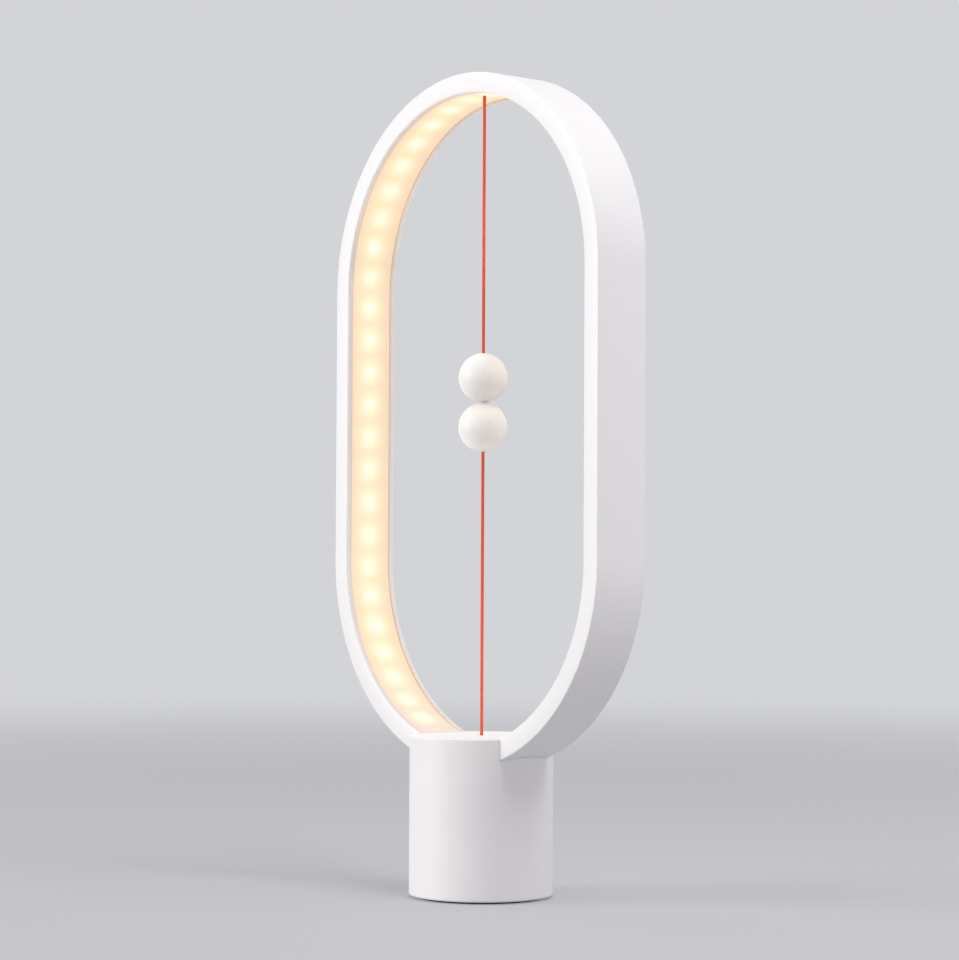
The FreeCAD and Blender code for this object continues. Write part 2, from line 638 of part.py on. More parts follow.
def lower_cord():
    return cylinder(CORD_R, LOWER_PIVOT_Z + CORD_R + SEAT, LOWER_BALL_Z - PLUG_INSIDE)


def lower_cord_bend():
    """The short bit of cord that bends at the mouth of its hole."""
    return Part.makeSphere(CORD_R, V(0, 0, LOWER_PIVOT_Z))


def lower_cord_tail():
    """The stretch of cord inside the base, down to the nipple in the plunger."""
    return cylinder(CORD_R, NIPPLE_Z + KNOT_R, LOWER_PIVOT_Z - CORD_R - SEAT)


def cord_nipple():
    """Knot at the lower cord's end, held in the plunger."""
    return Part.makeSphere(KNOT_R, V(0, 0, NIPPLE_Z))


# ---- Balls: made with the cord side up, then placed ----
def hung(shape):
    """Places a piece of the upper ball."""
    shape.translate(V(0, 0, UPPER_BALL_Z))
    return shape


def tethered(shape):
    """Places a piece of the lower ball, whose cord side faces down."""
    shape.rotate(ORIGIN, X_AXIS, 180)
    shape.translate(V(0, 0, LOWER_BALL_Z))
    return shape


def ball():
    """Turned ball, bored from its cord side for the magnet and the knot."""
    return Part.makeSphere(BALL_R).cut(cylinder(MAGNET_R + GAP, MAGNET_FLOOR, BALL_R))


def ball_plug():
    """Glued plug that closes the bore, its outside following the ball."""
    plug = Part.makeSphere(BALL_R).common(cylinder(MAGNET_R + GAP - THREAD_FIT, PLUG_INSIDE, BALL_R))
    return plug.cut(cylinder(CORD_R + SEAT, PLUG_INSIDE, BALL_R))


def magnet():
    disc = cylinder(MAGNET_R, MAGNET_FLOOR, MAGNET_FLOOR + MAGNET_THICKNESS)
    return disc.makeChamfer(MAGNET_CHAMFER, rims(disc))


def ball_knot():
    return Part.makeSphere(BALL_KNOT_R, V(0, 0, PLUG_INSIDE - BALL_KNOT_R))


# ---- Base casing ----
def foot_boss(angle):
    """Screw boss beside the wall, tied to it by a rib."""
    reach = CAVITY_R - BOSS_INSET
    top = BALLAST_Z - EASE
    boss = cylinder(POST_R, PLATE_TOP, top, reach, 0)
    rib = box(reach, CAVITY_R + LAP, -RIB / 2, RIB / 2, PLATE_TOP, top)
    boss = fuse([boss, rib])
    boss.rotate(ORIGIN, Z_AXIS, angle)
    return boss


def inlet_collar():
    """Walls of the rear recess, standing inward from the round wall."""
    collar = box(-COLLAR_HALF_WIDTH, COLLAR_HALF_WIDTH, COLLAR_FACE, BASE_R,
                 PORT_Z - COLLAR_HALF_HEIGHT, PORT_Z + COLLAR_HALF_HEIGHT)
    return collar.common(cylinder(CAVITY_R + LAP, 0, BASE_TOP))


def port_recess():
    """Round-cornered pocket in the rear wall, for the power plug's body."""
    half_width = PORT_WIDTH / 2
    half_height = PORT_HEIGHT / 2
    pocket = box(-half_width, half_width, PORT_FLOOR, BASE_R + LAP, PORT_Z - half_height, PORT_Z + half_height)
    return pocket.makeFillet(PORT_CORNER, long_edges(pocket, PORT_DEPTH))


def inlet_slot():
    half_width = INLET_WIDTH / 2 + INLET_FIT
    half_height = INLET_HEIGHT / 2 + INLET_FIT
    return box(-half_width, half_width, COLLAR_FACE - LAP, PORT_FLOOR + LAP,
               PORT_Z - half_height, PORT_Z + half_height)


def base_housing():
    """Round cup, open below, whose flat top is cut away where the loop stands in it."""
    outer = cylinder(BASE_R, PAD_STAND, BASE_TOP)
    outer = outer.makeFillet(BASE_TOP_ROUND, level_edges(outer, BASE_TOP))
    outer = outer.makeFillet(BASE_FOOT_ROUND, level_edges(outer, PAD_STAND))
    cup = outer.cut(cylinder(CAVITY_R, 0, DECK_ROOF))
    posts = [cylinder(POST_R, CRADLE_TOP, DECK_ROOF + LAP, x, y) for x, y in CRADLE_SCREWS_AT]
    bosses = [foot_boss(angle) for angle in BOSS_ANGLES]
    housing = fuse([cup, inlet_collar()] + posts + bosses)
    housing = housing.cut(port_recess()).cut(inlet_slot())
    core = M26[0] + THREAD_FIT
    housing = bored(housing, core, CRADLE_TOP, CRADLE_LOW + CRADLE_SCREW + BORE_RUNOUT, CRADLE_SCREWS_AT)
    housing = bored(housing, core, PLATE_TOP, PLATE_SCREW_SEAT + PLATE_SCREW + BORE_RUNOUT, PLATE_SCREWS_AT)
    return housing.cut(lower_drum(LOOP_R + GAP, HALF_DEPTH + GAP))


def top_bridge():
    """Closes the base's flat top between the loop's legs and carries the lower cord's bush."""
    blunt = math.sqrt(INNER_R ** 2 - (LOWER_CENTRE - BASE_TOP) ** 2) - BRIDGE_BLUNT
    plate = box(-blunt, blunt, -HALF_DEPTH, HALF_DEPTH, DECK_ROOF, BASE_TOP)
    plate = plate.common(lower_drum(INNER_R - GAP, HALF_DEPTH))
    boss = cylinder(BUSH_R + BUSH_WALL, BUSH_LOW, DECK_ROOF + LAP)
    rib = box(-BRIDGE_POST_X, BRIDGE_POST_X, -RIB / 2, RIB / 2, DECK_ROOF - BRIDGE_RIB_DEPTH, DECK_ROOF + LAP)
    posts = [cylinder(BRIDGE_POST_R, CRADLE_TOP, DECK_ROOF + LAP, x, y) for x, y in BRIDGE_SCREWS_AT]
    bridge = fuse([plate, boss, rib] + posts)
    bore_top = CRADLE_LOW + BRIDGE_SCREW + BORE_RUNOUT
    bridge = bored(bridge, M26[0] + THREAD_FIT, CRADLE_TOP, bore_top, BRIDGE_SCREWS_AT)
    bridge = bridge.cut(cylinder(BUSH_R, CRADLE_TOP, BASE_TOP))
    return bridge.cut(cylinder(BUSH_FLANGE_R + SEAT, BASE_TOP - BUSH_FLANGE, BASE_TOP))


def cord_bush():
    """Smooth bush that the lower cord runs through, flush with the base's top."""
    bush = fuse([
        cylinder(BUSH_R - THREAD_FIT, BUSH_LOW, BASE_TOP),
        cylinder(BUSH_FLANGE_R, BASE_TOP - BUSH_FLANGE, BASE_TOP),
    ])
    bush = bush.cut(cylinder(CORD_HOLE_R, BUSH_LOW, BASE_TOP))
    mouth = [e for e in level_edges(bush, BASE_TOP) if e.BoundBox.XMax < CORD_HOLE_R + PICK]
    return bush.makeFillet(BUSH_ROUND, mouth)


def bottom_plate():
    """Screwed-in floor with the board's standoffs and a shallow recess for the pad."""
    plate = cylinder(CAVITY_R - EASE, PAD_STAND, PLATE_TOP)
    plate = plate.cut(cylinder(PAD_R + GAP, 0, PAD_THICKNESS))
    standoffs = [cylinder(STANDOFF_R, PLATE_TOP - LAP, BOARD_Z, x, y) for x, y in BOARD_SCREWS_AT]
    plate = fuse([plate] + standoffs)
    plate = bored(plate, M2[0] + THREAD_FIT, PLATE_TOP, BOARD_Z, BOARD_SCREWS_AT)
    plate = bored(plate, M26[0] + HOLE_FIT, PAD_STAND, PLATE_TOP, PLATE_SCREWS_AT)
    return bored(plate, M26[1] + EASE, PAD_STAND, PLATE_SCREW_SEAT, PLATE_SCREWS_AT)


def foot_pad():
    pad = cylinder(PAD_R, 0, PAD_THICKNESS)
    return pad.makeFillet(PAD_ROUND, level_edges(pad, 0))


# ---- Ballast and cradle ----
def ballast_weight():
    """Cast iron disc that keeps the lamp upright, slotted for the wires."""
    disc = cylinder(BALLAST_R, BALLAST_Z, BALLAST_TOP)
    disc = disc.makeChamfer(BALLAST_CHAMFER, rims(disc))
    slot = fuse([
        cylinder(BALLAST_SLOT, BALLAST_Z, BALLAST_TOP),
        cylinder(BALLAST_SLOT, BALLAST_Z, BALLAST_TOP, 0, -BALLAST_SLOT_RUN),
        box(-BALLAST_SLOT, BALLAST_SLOT, -BALLAST_SLOT_RUN, 0, BALLAST_Z, BALLAST_TOP),
    ])
    disc = bored(disc.cut(slot), M3[0] + HOLE_FIT, BALLAST_Z, BALLAST_TOP, BALLAST_SCREWS_AT)
    return bored(disc, M3[1] + INLET_FIT, BALLAST_Z, BALLAST_Z + BALLAST_COUNTERBORE, BALLAST_SCREWS_AT)


def cradle_arm(side):
    """Saddle under one end of the loop."""
    arm = side_box(side, LOOP_END_X, CAVITY_R, -ARM_HALF, ARM_HALF, CRADLE_LOW, LOWER_CENTRE)
    arm = arm.common(cylinder(CAVITY_R - ARM_INSET, CRADLE_LOW, LOWER_CENTRE))
    return arm.cut(lower_drum(LOOP_R + SEAT, LOOP_DEPTH))


def arm_pocket(side):
    """Hollow under one saddle, where the loop's screws are driven."""
    half = ARM_HALF - ARM_WALL
    return side_box(side, LOOP_END_X + RIB, CAVITY_R - ARM_INSET - ARM_WALL, -half, half,
                    CRADLE_LOW, ARM_POCKET_ROOF)


def loop_cradle():
    """Moulded frame that seats the loop's ends and carries the switch and the ballast."""
    deck = cylinder(CAVITY_R - DECK_INSET, CRADLE_LOW, CRADLE_TOP)
    pillars = [cylinder(PILLAR_R, BALLAST_TOP, CRADLE_LOW + LAP, x, y) for x, y in BALLAST_SCREWS_AT]
    bracket_boss = cylinder(BRACKET_BOSS_R, CRADLE_TOP - LAP, CRADLE_TOP + BRACKET_BOSS_RISE,
                            BRACKET_SCREW_X, BRACKET_SCREW_Y)
    cradle = fuse([deck, cradle_arm(-1), cradle_arm(1), bracket_boss] + pillars)
    cradle = cradle.cut(arm_pocket(-1)).cut(arm_pocket(1))
    shank = M26[0] + HOLE_FIT
    cradle = bored(cradle, shank, CRADLE_LOW, LOWER_CENTRE, LOOP_SCREWS_AT)
    cradle = bored(cradle, shank, CRADLE_LOW, CRADLE_TOP, CRADLE_SCREWS_AT + BRIDGE_SCREWS_AT)
    pillar_bore_top = BALLAST_Z + BALLAST_COUNTERBORE + BALLAST_SCREW + BORE_RUNOUT
    cradle = bored(cradle, M3[0] + THREAD_FIT, BALLAST_TOP, pillar_bore_top, BALLAST_SCREWS_AT)
    cradle = bored(cradle, M2[0] + THREAD_FIT, CRADLE_LOW, CRADLE_TOP, GUIDE_SCREWS_AT)
    bracket_bore_top = CRADLE_LOW - BRACKET_PLATE + BRACKET_SCREW + BORE_RUNOUT
    cradle = bored(cradle, M2[0] + THREAD_FIT, CRADLE_LOW, bracket_bore_top, BRACKET_SCREW_AT)
    cradle = cradle.cut(cylinder(WIRE_HOLE_R, CRADLE_LOW, CRADLE_TOP, WIRE_X, WIRE_Y))
    return cradle.cut(cylinder(GUIDE_RADIUS + GAP, CRADLE_LOW, CRADLE_TOP))


# ---- Board and power inlet ----
def control_board():
    board = cylinder(CAVITY_R - BOARD_INSET, BOARD_Z, BOARD_TOP)
    board = bored(board, POST_R + LAP, BOARD_Z, BOARD_TOP, PLATE_SCREWS_AT)
    board = bored(board, M2[0] + HOLE_FIT, BOARD_Z, BOARD_TOP, BOARD_SCREWS_AT)
    half = COLLAR_HALF_WIDTH + LAP
    return board.cut(box(-half, half, COLLAR_FACE - EASE, BASE_R, BOARD_Z, BOARD_TOP))


def driver_chip():
    """Eight-legged driver: body and two rows of feet."""
    half_width = DRIVER_WIDTH / 2
    half_length = DRIVER_LENGTH / 2
    low = BOARD_TOP + DRIVER_STAND
    body = box(DRIVER_X - half_width, DRIVER_X + half_width, DRIVER_Y - half_length, DRIVER_Y + half_length,
               low, low + DRIVER_HEIGHT)
    reach = half_width + DRIVER_LEG
    legs = []
    for i in range(4):
        y = DRIVER_Y + (i - 1.5) * DRIVER_LEG_PITCH
        legs.append(box(DRIVER_X - reach, DRIVER_X + reach, y - DRIVER_LEG_WIDTH / 2, y + DRIVER_LEG_WIDTH / 2,
                        BOARD_TOP, low + DRIVER_STAND))
    return fuse([body] + legs)


def power_inductor():
    """Coil between two flanges, under a shrunk sleeve."""
    radius = INDUCTOR_DIAMETER / 2
    top = BOARD_TOP + INDUCTOR_HEIGHT
    return fuse([
        cylinder(radius, BOARD_TOP, BOARD_TOP + INDUCTOR_FLANGE, INDUCTOR_X, INDUCTOR_Y),
        cylinder(INDUCTOR_NECK / 2, BOARD_TOP, top, INDUCTOR_X, INDUCTOR_Y),
        cylinder(radius, top - INDUCTOR_FLANGE, top, INDUCTOR_X, INDUCTOR_Y),
    ])


def capacitors():
    radius = CAPACITOR_DIAMETER / 2
    cans = []
    for x in (-CAPACITOR_X, CAPACITOR_X):
        can = cylinder(radius, BOARD_TOP, BOARD_TOP + CAPACITOR_HEIGHT, x, CAPACITOR_Y)
        groove_at = V(x, CAPACITOR_Y, BOARD_TOP + CAPACITOR_GROOVE_Z)
        cans.append(can.cut(Part.makeTorus(radius + CAPACITOR_GROOVE / 2, CAPACITOR_GROOVE, groove_at)))
    return Part.makeCompound(cans)


def usb_inlet():
    """Metal-shelled power socket with its contact tongue."""
    front = PORT_FLOOR - EASE
    back = front - INLET_LENGTH
    half = INLET_WIDTH / 2
    top = BOARD_TOP + INLET_HEIGHT
    shell = box(-half, half, back, front, BOARD_TOP, top)
    shell = shell.makeFillet(INLET_ROUND, long_edges(shell, INLET_LENGTH / 2))
    mouth = box(-half + INLET_WALL, half - INLET_WALL, back + INLET_BACK, front,
                BOARD_TOP + INLET_WALL, top - INLET_WALL)
    tongue_half = TONGUE_THICKNESS / 2
    tongue = box(-TONGUE_WIDTH / 2, TONGUE_WIDTH / 2, back + INLET_BACK / 2, front - TONGUE_SHY,
                 PORT_Z - tongue_half, PORT_Z + tongue_half)
    return fuse([shell.cut(mouth), tongue])


# ---- Pull switch ----
def plunger_guide():
    """Tube that the plunger slides in, with two ears screwed to the cradle's deck."""
    ear_top = CRADLE_TOP + GUIDE_EAR
    ears = [cylinder(GUIDE_EAR_R, CRADLE_TOP, ear_top, x, y) for x, y in GUIDE_SCREWS_AT]
    strap = box(-GUIDE_EAR_R, GUIDE_EAR_R, -GUIDE_SCREW_Y, GUIDE_SCREW_Y, CRADLE_TOP, ear_top)
    guide = fuse([cylinder(GUIDE_RADIUS, GUIDE_LOW, GUIDE_TOP), strap] + ears)
    guide = bored(guide, M2[0] + HOLE_FIT, CRADLE_TOP, ear_top, GUIDE_SCREWS_AT)
    guide = guide.cut(cylinder(PLUNGER_BORE, GUIDE_LOW, SPRING_TOP))
    guide = guide.cut(cylinder(RETAINER_R, GUIDE_LOW, RETAINER_TOP))
    return guide.cut(cylinder(CORD_HOLE_R, SPRING_TOP, GUIDE_TOP))


def plunger_retainer():
    """Pressed-in washer that keeps the plunger in its guide."""
    washer = cylinder(RETAINER_R - THREAD_FIT, GUIDE_LOW, RETAINER_TOP)
    return washer.cut(cylinder(STEM_RADIUS + GAP, GUIDE_LOW, RETAINER_TOP))


def pull_plunger():
    """Plunger that the lower cord lifts: knot chamber, flange, stem and rounded tip."""
    body = fuse([
        Part.makeSphere(STEM_RADIUS, V(0, 0, TIP_Z)),
        cylinder(STEM_RADIUS, TIP_Z, FLANGE_Z),
        cylinder(PLUNGER_BORE - GAP, FLANGE_Z, FLANGE_TOP),
        cylinder(CHAMBER_R + CHAMBER_WALL, FLANGE_TOP, PLUNGER_TOP),
    ])
    slot_half = CORD_R + GAP
    chamber = fuse([
        cylinder(CHAMBER_R, CHAMBER_LOW, CHAMBER_TOP),
        box(-CHAMBER_R, CHAMBER_R, -PLUNGER_BORE, 0, CHAMBER_LOW, CHAMBER_TOP),
        cylinder(slot_half, CHAMBER_TOP, PLUNGER_TOP),
        box(-slot_half, slot_half, -PLUNGER_BORE, 0, CHAMBER_TOP, PLUNGER_TOP),
    ])
    return body.cut(chamber)


def return_spring():
    """Compression spring that pushes the plunger down when the cord goes slack."""
    wire = SPRING_WIRE / 2
    low = FLANGE_TOP + wire + SEAT
    height = SPRING_TOP - wire - SEAT - low
    radius = SPRING_COIL / 2
    spine = Part.makeHelix(height / SPRING_TURNS, height, radius)
    profile = Part.Wire([Part.makeCircle(wire, V(radius, 0, 0), Y_AXIS)])
    coil = Part.Wire(spine).makePipeShell([profile], True, True)
    coil.translate(V(0, 0, low))
    return coil


def switch_body():
    """Snap-action switch with two ears for the lever's pin."""
    half = SWITCH_WIDTH / 2
    body = box(-half, half, SWITCH_FRONT, SWITCH_REAR, SWITCH_LOW, SWITCH_TOP)
    ears = [side_box(side, half - SWITCH_EAR, half, PIVOT_Y - SWITCH_EAR_HALF, PIVOT_Y + SWITCH_EAR_HALF,
                     SWITCH_TOP - LAP, PIVOT_Z + SWITCH_EAR_RISE) for side in (-1, 1)]
    body = fuse([body] + ears)
    body = body.cut(across(PIN_R + SEAT, -half, half, PIVOT_Y, PIVOT_Z))
    for y in SWITCH_SCREWS_Y:
        body = body.cut(across(M2[0] + GAP, -half, half, y, SWITCH_SCREW_Z))
    return body.cut(cylinder(BUTTON_RADIUS + GAP, SWITCH_TOP - BUTTON_WELL, SWITCH_TOP, 0, BUTTON_Y))


def switch_lever():
    """Sheet lever on its pivot pin, standing up against the plunger's tip."""
    half = LEVER_WIDTH / 2
    pin_half = SWITCH_WIDTH / 2 - GAP
    eye_half = SWITCH_WIDTH / 2 - SWITCH_EAR - GAP - SEAT
    lever = fuse([
        box(-half, half, 0, LEVER_REACH + LEVER_OVERHANG, -LEVER_THICKNESS, 0),
        across(LEVER_ROLL_R, -eye_half, eye_half, 0, 0),
        across(PIN_R, -pin_half, pin_half, 0, 0),
    ])
    lever.rotate(ORIGIN, X_AXIS, LEVER_REST_DEG)
    lever.translate(V(0, PIVOT_Y, PIVOT_Z))
    return lever


def switch_button():
    """Domed button under the lever, standing proud while the lever is free."""
    rise = BUTTON_REACH * math.sin(LEVER_TILT) - LEVER_THICKNESS - BUTTON_RADIUS - TOUCH
    dome_z = PIVOT_Z + rise / math.cos(LEVER_TILT)
    return fuse([
        cylinder(BUTTON_RADIUS, SWITCH_TOP - BUTTON_DEPTH, dome_z, 0, BUTTON_Y),
        Part.makeSphere(BUTTON_RADIUS, V(0, BUTTON_Y, dome_z)),
    ])


def switch_terminals():
    """Three solder blades, each with an eye."""
    half_width = TERMINAL_WIDTH / 2
    half = TERMINAL_THICKNESS / 2
    blades = []
    for y in TERMINALS_Y:
        blade = box(-half, half, y - half_width, y + half_width, TERMINAL_LOW, SWITCH_LOW)
        blades.append(blade.cut(across(TERMINAL_EYE_R, -half, half, y, TERMINAL_LOW + half_width)))
    return Part.makeCompound(blades)


def switch_bracket():
    """Angle bracket that hangs the switch beside the plunger."""
    clear_y = -GUIDE_RADIUS - 2 * BRACKET_LEAD
    bracket = fuse([
        box(BRACKET_X, BRACKET_OUTSIDE, BRACKET_FRONT, clear_y, SWITCH_LOW, CRADLE_LOW),
        box(BRACKET_X, BRACKET_OUTSIDE, BRACKET_FRONT, SWITCH_REAR, SWITCH_LOW, SWITCH_TOP),
        box(BRACKET_X, BRACKET_SCREW_X + BRACKET_EDGE, BRACKET_FRONT, clear_y,
            CRADLE_LOW - BRACKET_PLATE, CRADLE_LOW),
    ])
    for y in SWITCH_SCREWS_Y:
        bracket = bracket.cut(across(M2[0] + THREAD_FIT, BRACKET_X, BRACKET_OUTSIDE, y, SWITCH_SCREW_Z))
    return bored(bracket, M2[0] + HOLE_FIT, CRADLE_LOW - BRACKET_PLATE, CRADLE_LOW, BRACKET_SCREW_AT)


def switch_screws():
    """Two screws through the switch into its bracket."""
    core, head, height = M2
    left = -SWITCH_WIDTH / 2
    return Part.makeCompound([
        fuse([across(head, left - height, left, y, SWITCH_SCREW_Z),
              across(core, left, BRACKET_OUTSIDE, y, SWITCH_SCREW_Z)])
        for y in SWITCH_SCREWS_Y])


# ---- Wires ----
def bent_wire(points, bend, radius):
    """A round wire: straight runs joined by tangent arcs."""
    edges = []
    start = points[0]
    for before, corner, after in zip(points, points[1:], points[2:]):
        into = (corner - before).normalize()
        out = (after - corner).normalize()
        half_turn = into.getAngle(out) / 2
        setback = bend * math.tan(half_turn)
        arc_start = corner - into * setback
        arc_end = corner + out * setback
        toward = (out - into).normalize()
        middle = corner + toward * (bend / math.cos(half_turn) - bend)
        edges.append(Part.makeLine(start, arc_start))
        edges.append(Part.Arc(arc_start, middle, arc_end).toShape())
        start = arc_end
    edges.append(Part.makeLine(start, points[-1]))
    direction = (points[1] - points[0]).normalize()
    profile = Part.Wire([Part.makeCircle(radius, points[0], direction)])
    return Part.Wire(edges).makePipeShell([profile], True, True)


def led_wires():
    """Pair from the strip's left end, through the cradle and the ballast, to the board."""
    radius = STRIP_R - WIRE_R - SEAT
    end_x = -CAVITY_R
    middle_x = (end_x + WIRE_LEAD + WIRE_X) / 2
    pair = []
    for y in (WIRE_Y - WIRE_PITCH / 2, WIRE_Y + WIRE_PITCH / 2):
        pair.append(bent_wire([
            V(end_x, y, drum_height(radius, end_x)),
            V(middle_x, y, drum_height(radius, middle_x)),
            V(WIRE_X, y, drum_height(radius, WIRE_X)),
            V(WIRE_X, y, BALLAST_TOP + WIRE_SWERVE_TOP),
            V(WIRE_DROP_X, y, BALLAST_TOP + WIRE_SWERVE_LOW),
            V(WIRE_DROP_X, y, BOARD_TOP),
        ], WIRE_BEND, WIRE_R))
    return Part.makeCompound(pair)


def switch_wires():
    """Two leads from the switch's blades, through the ballast, to the board."""
    return Part.makeCompound([cylinder(WIRE_R, BOARD_TOP, TERMINAL_LOW, 0, y) for y in TERMINALS_Y[1:]])


# ---- Fasteners ----
def loop_screws():
    return screws(screw_up, M26, LOOP_SCREWS_AT, ARM_POCKET_ROOF, LOOP_SCREW_TOP - ARM_POCKET_ROOF)


def cradle_screws():
    return screws(screw_up, M26, CRADLE_SCREWS_AT, CRADLE_LOW, CRADLE_SCREW)


def bridge_screws():
    return screws(screw_up, M26, BRIDGE_SCREWS_AT, CRADLE_LOW, BRIDGE_SCREW)


def bracket_screw():
    return screws(screw_up, M2, BRACKET_SCREW_AT, CRADLE_LOW - BRACKET_PLATE, BRACKET_SCREW)


def guide_screws():
    return screws(screw_down, M2, GUIDE_SCREWS_AT, CRADLE_TOP + GUIDE_EAR, GUIDE_SCREW)


def ballast_screws():
    return screws(screw_up, M3, BALLAST_SCREWS_AT, BALLAST_Z + BALLAST_COUNTERBORE, BALLAST_SCREW)


def board_screws():
    return screws(screw_down, M2, BOARD_SCREWS_AT, BOARD_TOP, BOARD_SCREW)


def plate_screws():
    return screws(screw_up, M26, PLATE_SCREWS_AT, PLATE_SCREW_SEAT, PLATE_SCREW)


# ---- One file for each node ----
NODES = {
    "loop_front_shell": loop_front_shell(),
    "loop_rear_cover": loop_rear_cover(),
    "diffuser": diffuser(),
    "led_strip": led_strip(),
    "led_chips": led_chips(),
    "loop_end_plugs": loop_end_plugs(),
    "upper_cord_anchor": upper_cord_anchor(),
    "upper_cord_knot": upper_cord_knot(),
    "upper_cord_tail": upper_cord_tail(),
    "upper_cord_bend": upper_cord_bend(),
    "upper_cord": upper_cord(),
    "upper_ball": hung(ball()),
    "upper_ball_plug": hung(ball_plug()),
    "upper_magnet": hung(magnet()),
    "upper_ball_knot": hung(ball_knot()),
    "lower_ball": tethered(ball()),
    "lower_ball_plug": tethered(ball_plug()),
    "lower_magnet": tethered(magnet()),
    "lower_ball_knot": tethered(ball_knot()),
    "lower_cord": lower_cord(),
    "lower_cord_bend": lower_cord_bend(),
    "lower_cord_tail": lower_cord_tail(),
    "cord_nipple": cord_nipple(),
    "base_housing": base_housing(),
    "top_bridge": top_bridge(),
    "cord_bush": cord_bush(),
    "bottom_plate": bottom_plate(),
    "foot_pad": foot_pad(),
    "ballast_weight": ballast_weight(),
    "loop_cradle": loop_cradle(),
    "control_board": control_board(),
    "driver_chip": driver_chip(),
    "power_inductor": power_inductor(),
    "capacitors": capacitors(),
    "usb_inlet": usb_inlet(),
    "plunger_guide": plunger_guide(),
    "plunger_retainer": plunger_retainer(),
    "pull_plunger": pull_plunger(),
    "return_spring": return_spring(),
    "switch_body": switch_body(),
    "switch_lever": switch_lever(),
    "switch_button": switch_button(),
    "switch_terminals": switch_terminals(),
    "switch_bracket": switch_bracket(),
    "switch_screws": switch_screws(),
    "led_wires": led_wires(),
    "switch_wires": switch_wires(),
    "loop_screws": loop_screws(),
    "cradle_screws": cradle_screws(),
    "bridge_screws": bridge_screws(),
    "bracket_screw": bracket_screw(),
    "guide_screws": guide_screws(),
    "ballast_screws": ballast_screws(),
    "board_screws": board_screws(),
    "plate_screws": plate_screws(),
}

os.makedirs("parts", exist_ok=True)
for name, shape in NODES.items():
    shape.exportStep("parts/" + name + ".step")
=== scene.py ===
import math

import bmesh
import bpy
from mathutils import Matrix, Vector


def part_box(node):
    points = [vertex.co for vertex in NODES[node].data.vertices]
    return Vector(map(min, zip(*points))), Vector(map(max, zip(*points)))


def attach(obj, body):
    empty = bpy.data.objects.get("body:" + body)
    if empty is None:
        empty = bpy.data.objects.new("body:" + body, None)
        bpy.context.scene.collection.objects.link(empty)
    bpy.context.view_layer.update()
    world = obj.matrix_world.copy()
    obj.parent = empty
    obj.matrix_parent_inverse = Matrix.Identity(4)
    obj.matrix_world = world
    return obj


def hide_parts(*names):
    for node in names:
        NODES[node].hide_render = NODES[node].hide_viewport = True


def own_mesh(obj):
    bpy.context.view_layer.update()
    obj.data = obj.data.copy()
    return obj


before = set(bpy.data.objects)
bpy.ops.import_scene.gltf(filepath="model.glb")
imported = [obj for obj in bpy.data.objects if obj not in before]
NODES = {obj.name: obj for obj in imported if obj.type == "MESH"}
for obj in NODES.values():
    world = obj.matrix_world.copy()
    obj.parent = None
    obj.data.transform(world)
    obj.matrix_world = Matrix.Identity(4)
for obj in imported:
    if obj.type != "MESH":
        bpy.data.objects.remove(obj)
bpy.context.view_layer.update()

MM = 0.001


# ---- Sizes that the frame gives, in metres ----
def corners(node):
    """Lowest and highest corner of a node, to a tenth of a millimetre."""
    low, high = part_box(node)
    return Vector([round(v, 4) for v in low]), Vector([round(v, 4) for v in high])


_, shell_high = corners("loop_front_shell")
_, diffuser_high = corners("diffuser")
housing_low, housing_high = corners("base_housing")
upper_ball_low, upper_ball_high = corners("upper_ball")
lower_ball_low, lower_ball_high = corners("lower_ball")
pad_low, pad_high = corners("foot_pad")
inlet_low, inlet_high = corners("usb_inlet")
upper_cord_low, upper_cord_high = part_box("upper_cord")
bush_low, bush_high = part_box("cord_bush")

LOOP_R = shell_high.x
HALF_DEPTH = shell_high.y
UPPER_Z = shell_high.z - LOOP_R                 # centre of the loop's upper arc
DIFFUSER_BACK = diffuser_high.z - UPPER_Z
DIFFUSER_HALF = diffuser_high.y
BASE_R = housing_high.x
BASE_FOOT = housing_low.z
BASE_TOP = housing_high.z
CORD_R = (upper_cord_high.x - upper_cord_low.x) / 2
BALL_R = (upper_ball_high.x - upper_ball_low.x) / 2
UPPER_BALL_Z = (upper_ball_low.z + upper_ball_high.z) / 2
LOWER_BALL_Z = (lower_ball_low.z + lower_ball_high.z) / 2

# ---- Sizes of the casings, as the CAD has them ----
BAND = 10.0 * MM            # thickness of the loop's band, seen from the front
LOOP_SINK = 15.0 * MM       # the loop's outline goes this deep below the base's top
LOOP_END_X = 17.0 * MM      # the band's ends stop this far from the axis
SIDE_WALL = 2.0 * MM
RIM_WALL = 1.8 * MM
LIP_WIDTH = 3.0 * MM
LIP_BACK = 1.0 * MM         # ledge behind the diffuser's edge
LIP_STEP = 0.8 * MM         # how far the diffuser lies below the lips
COVER_GAP = 0.1 * MM
STRIP_THICKNESS = 0.3 * MM
BASE_WALL = 2.0 * MM
BASE_DECK = 2.5 * MM
BRIDGE_BLUNT = 1.0 * MM     # the bridge's thin edges are cut back by this much
BUSH_FLANGE_R = 2.8 * MM
BUSH_FLANGE = 0.8 * MM
BUSH_R = 2.0 * MM
CORD_HOLE_R = 1.05 * MM
MAGNET_BORE_R = 4.6 * MM    # bore in a ball, closed by a plug
PORT_WIDTH = 12.0 * MM      # recess round the power inlet
PORT_HEIGHT = 8.0 * MM
PORT_DEPTH = 5.0 * MM
PORT_WALL = 1.4 * MM
PORT_CORNER = 1.5 * MM
INLET_FIT = 0.3 * MM
INLET_CORNER = 0.6 * MM

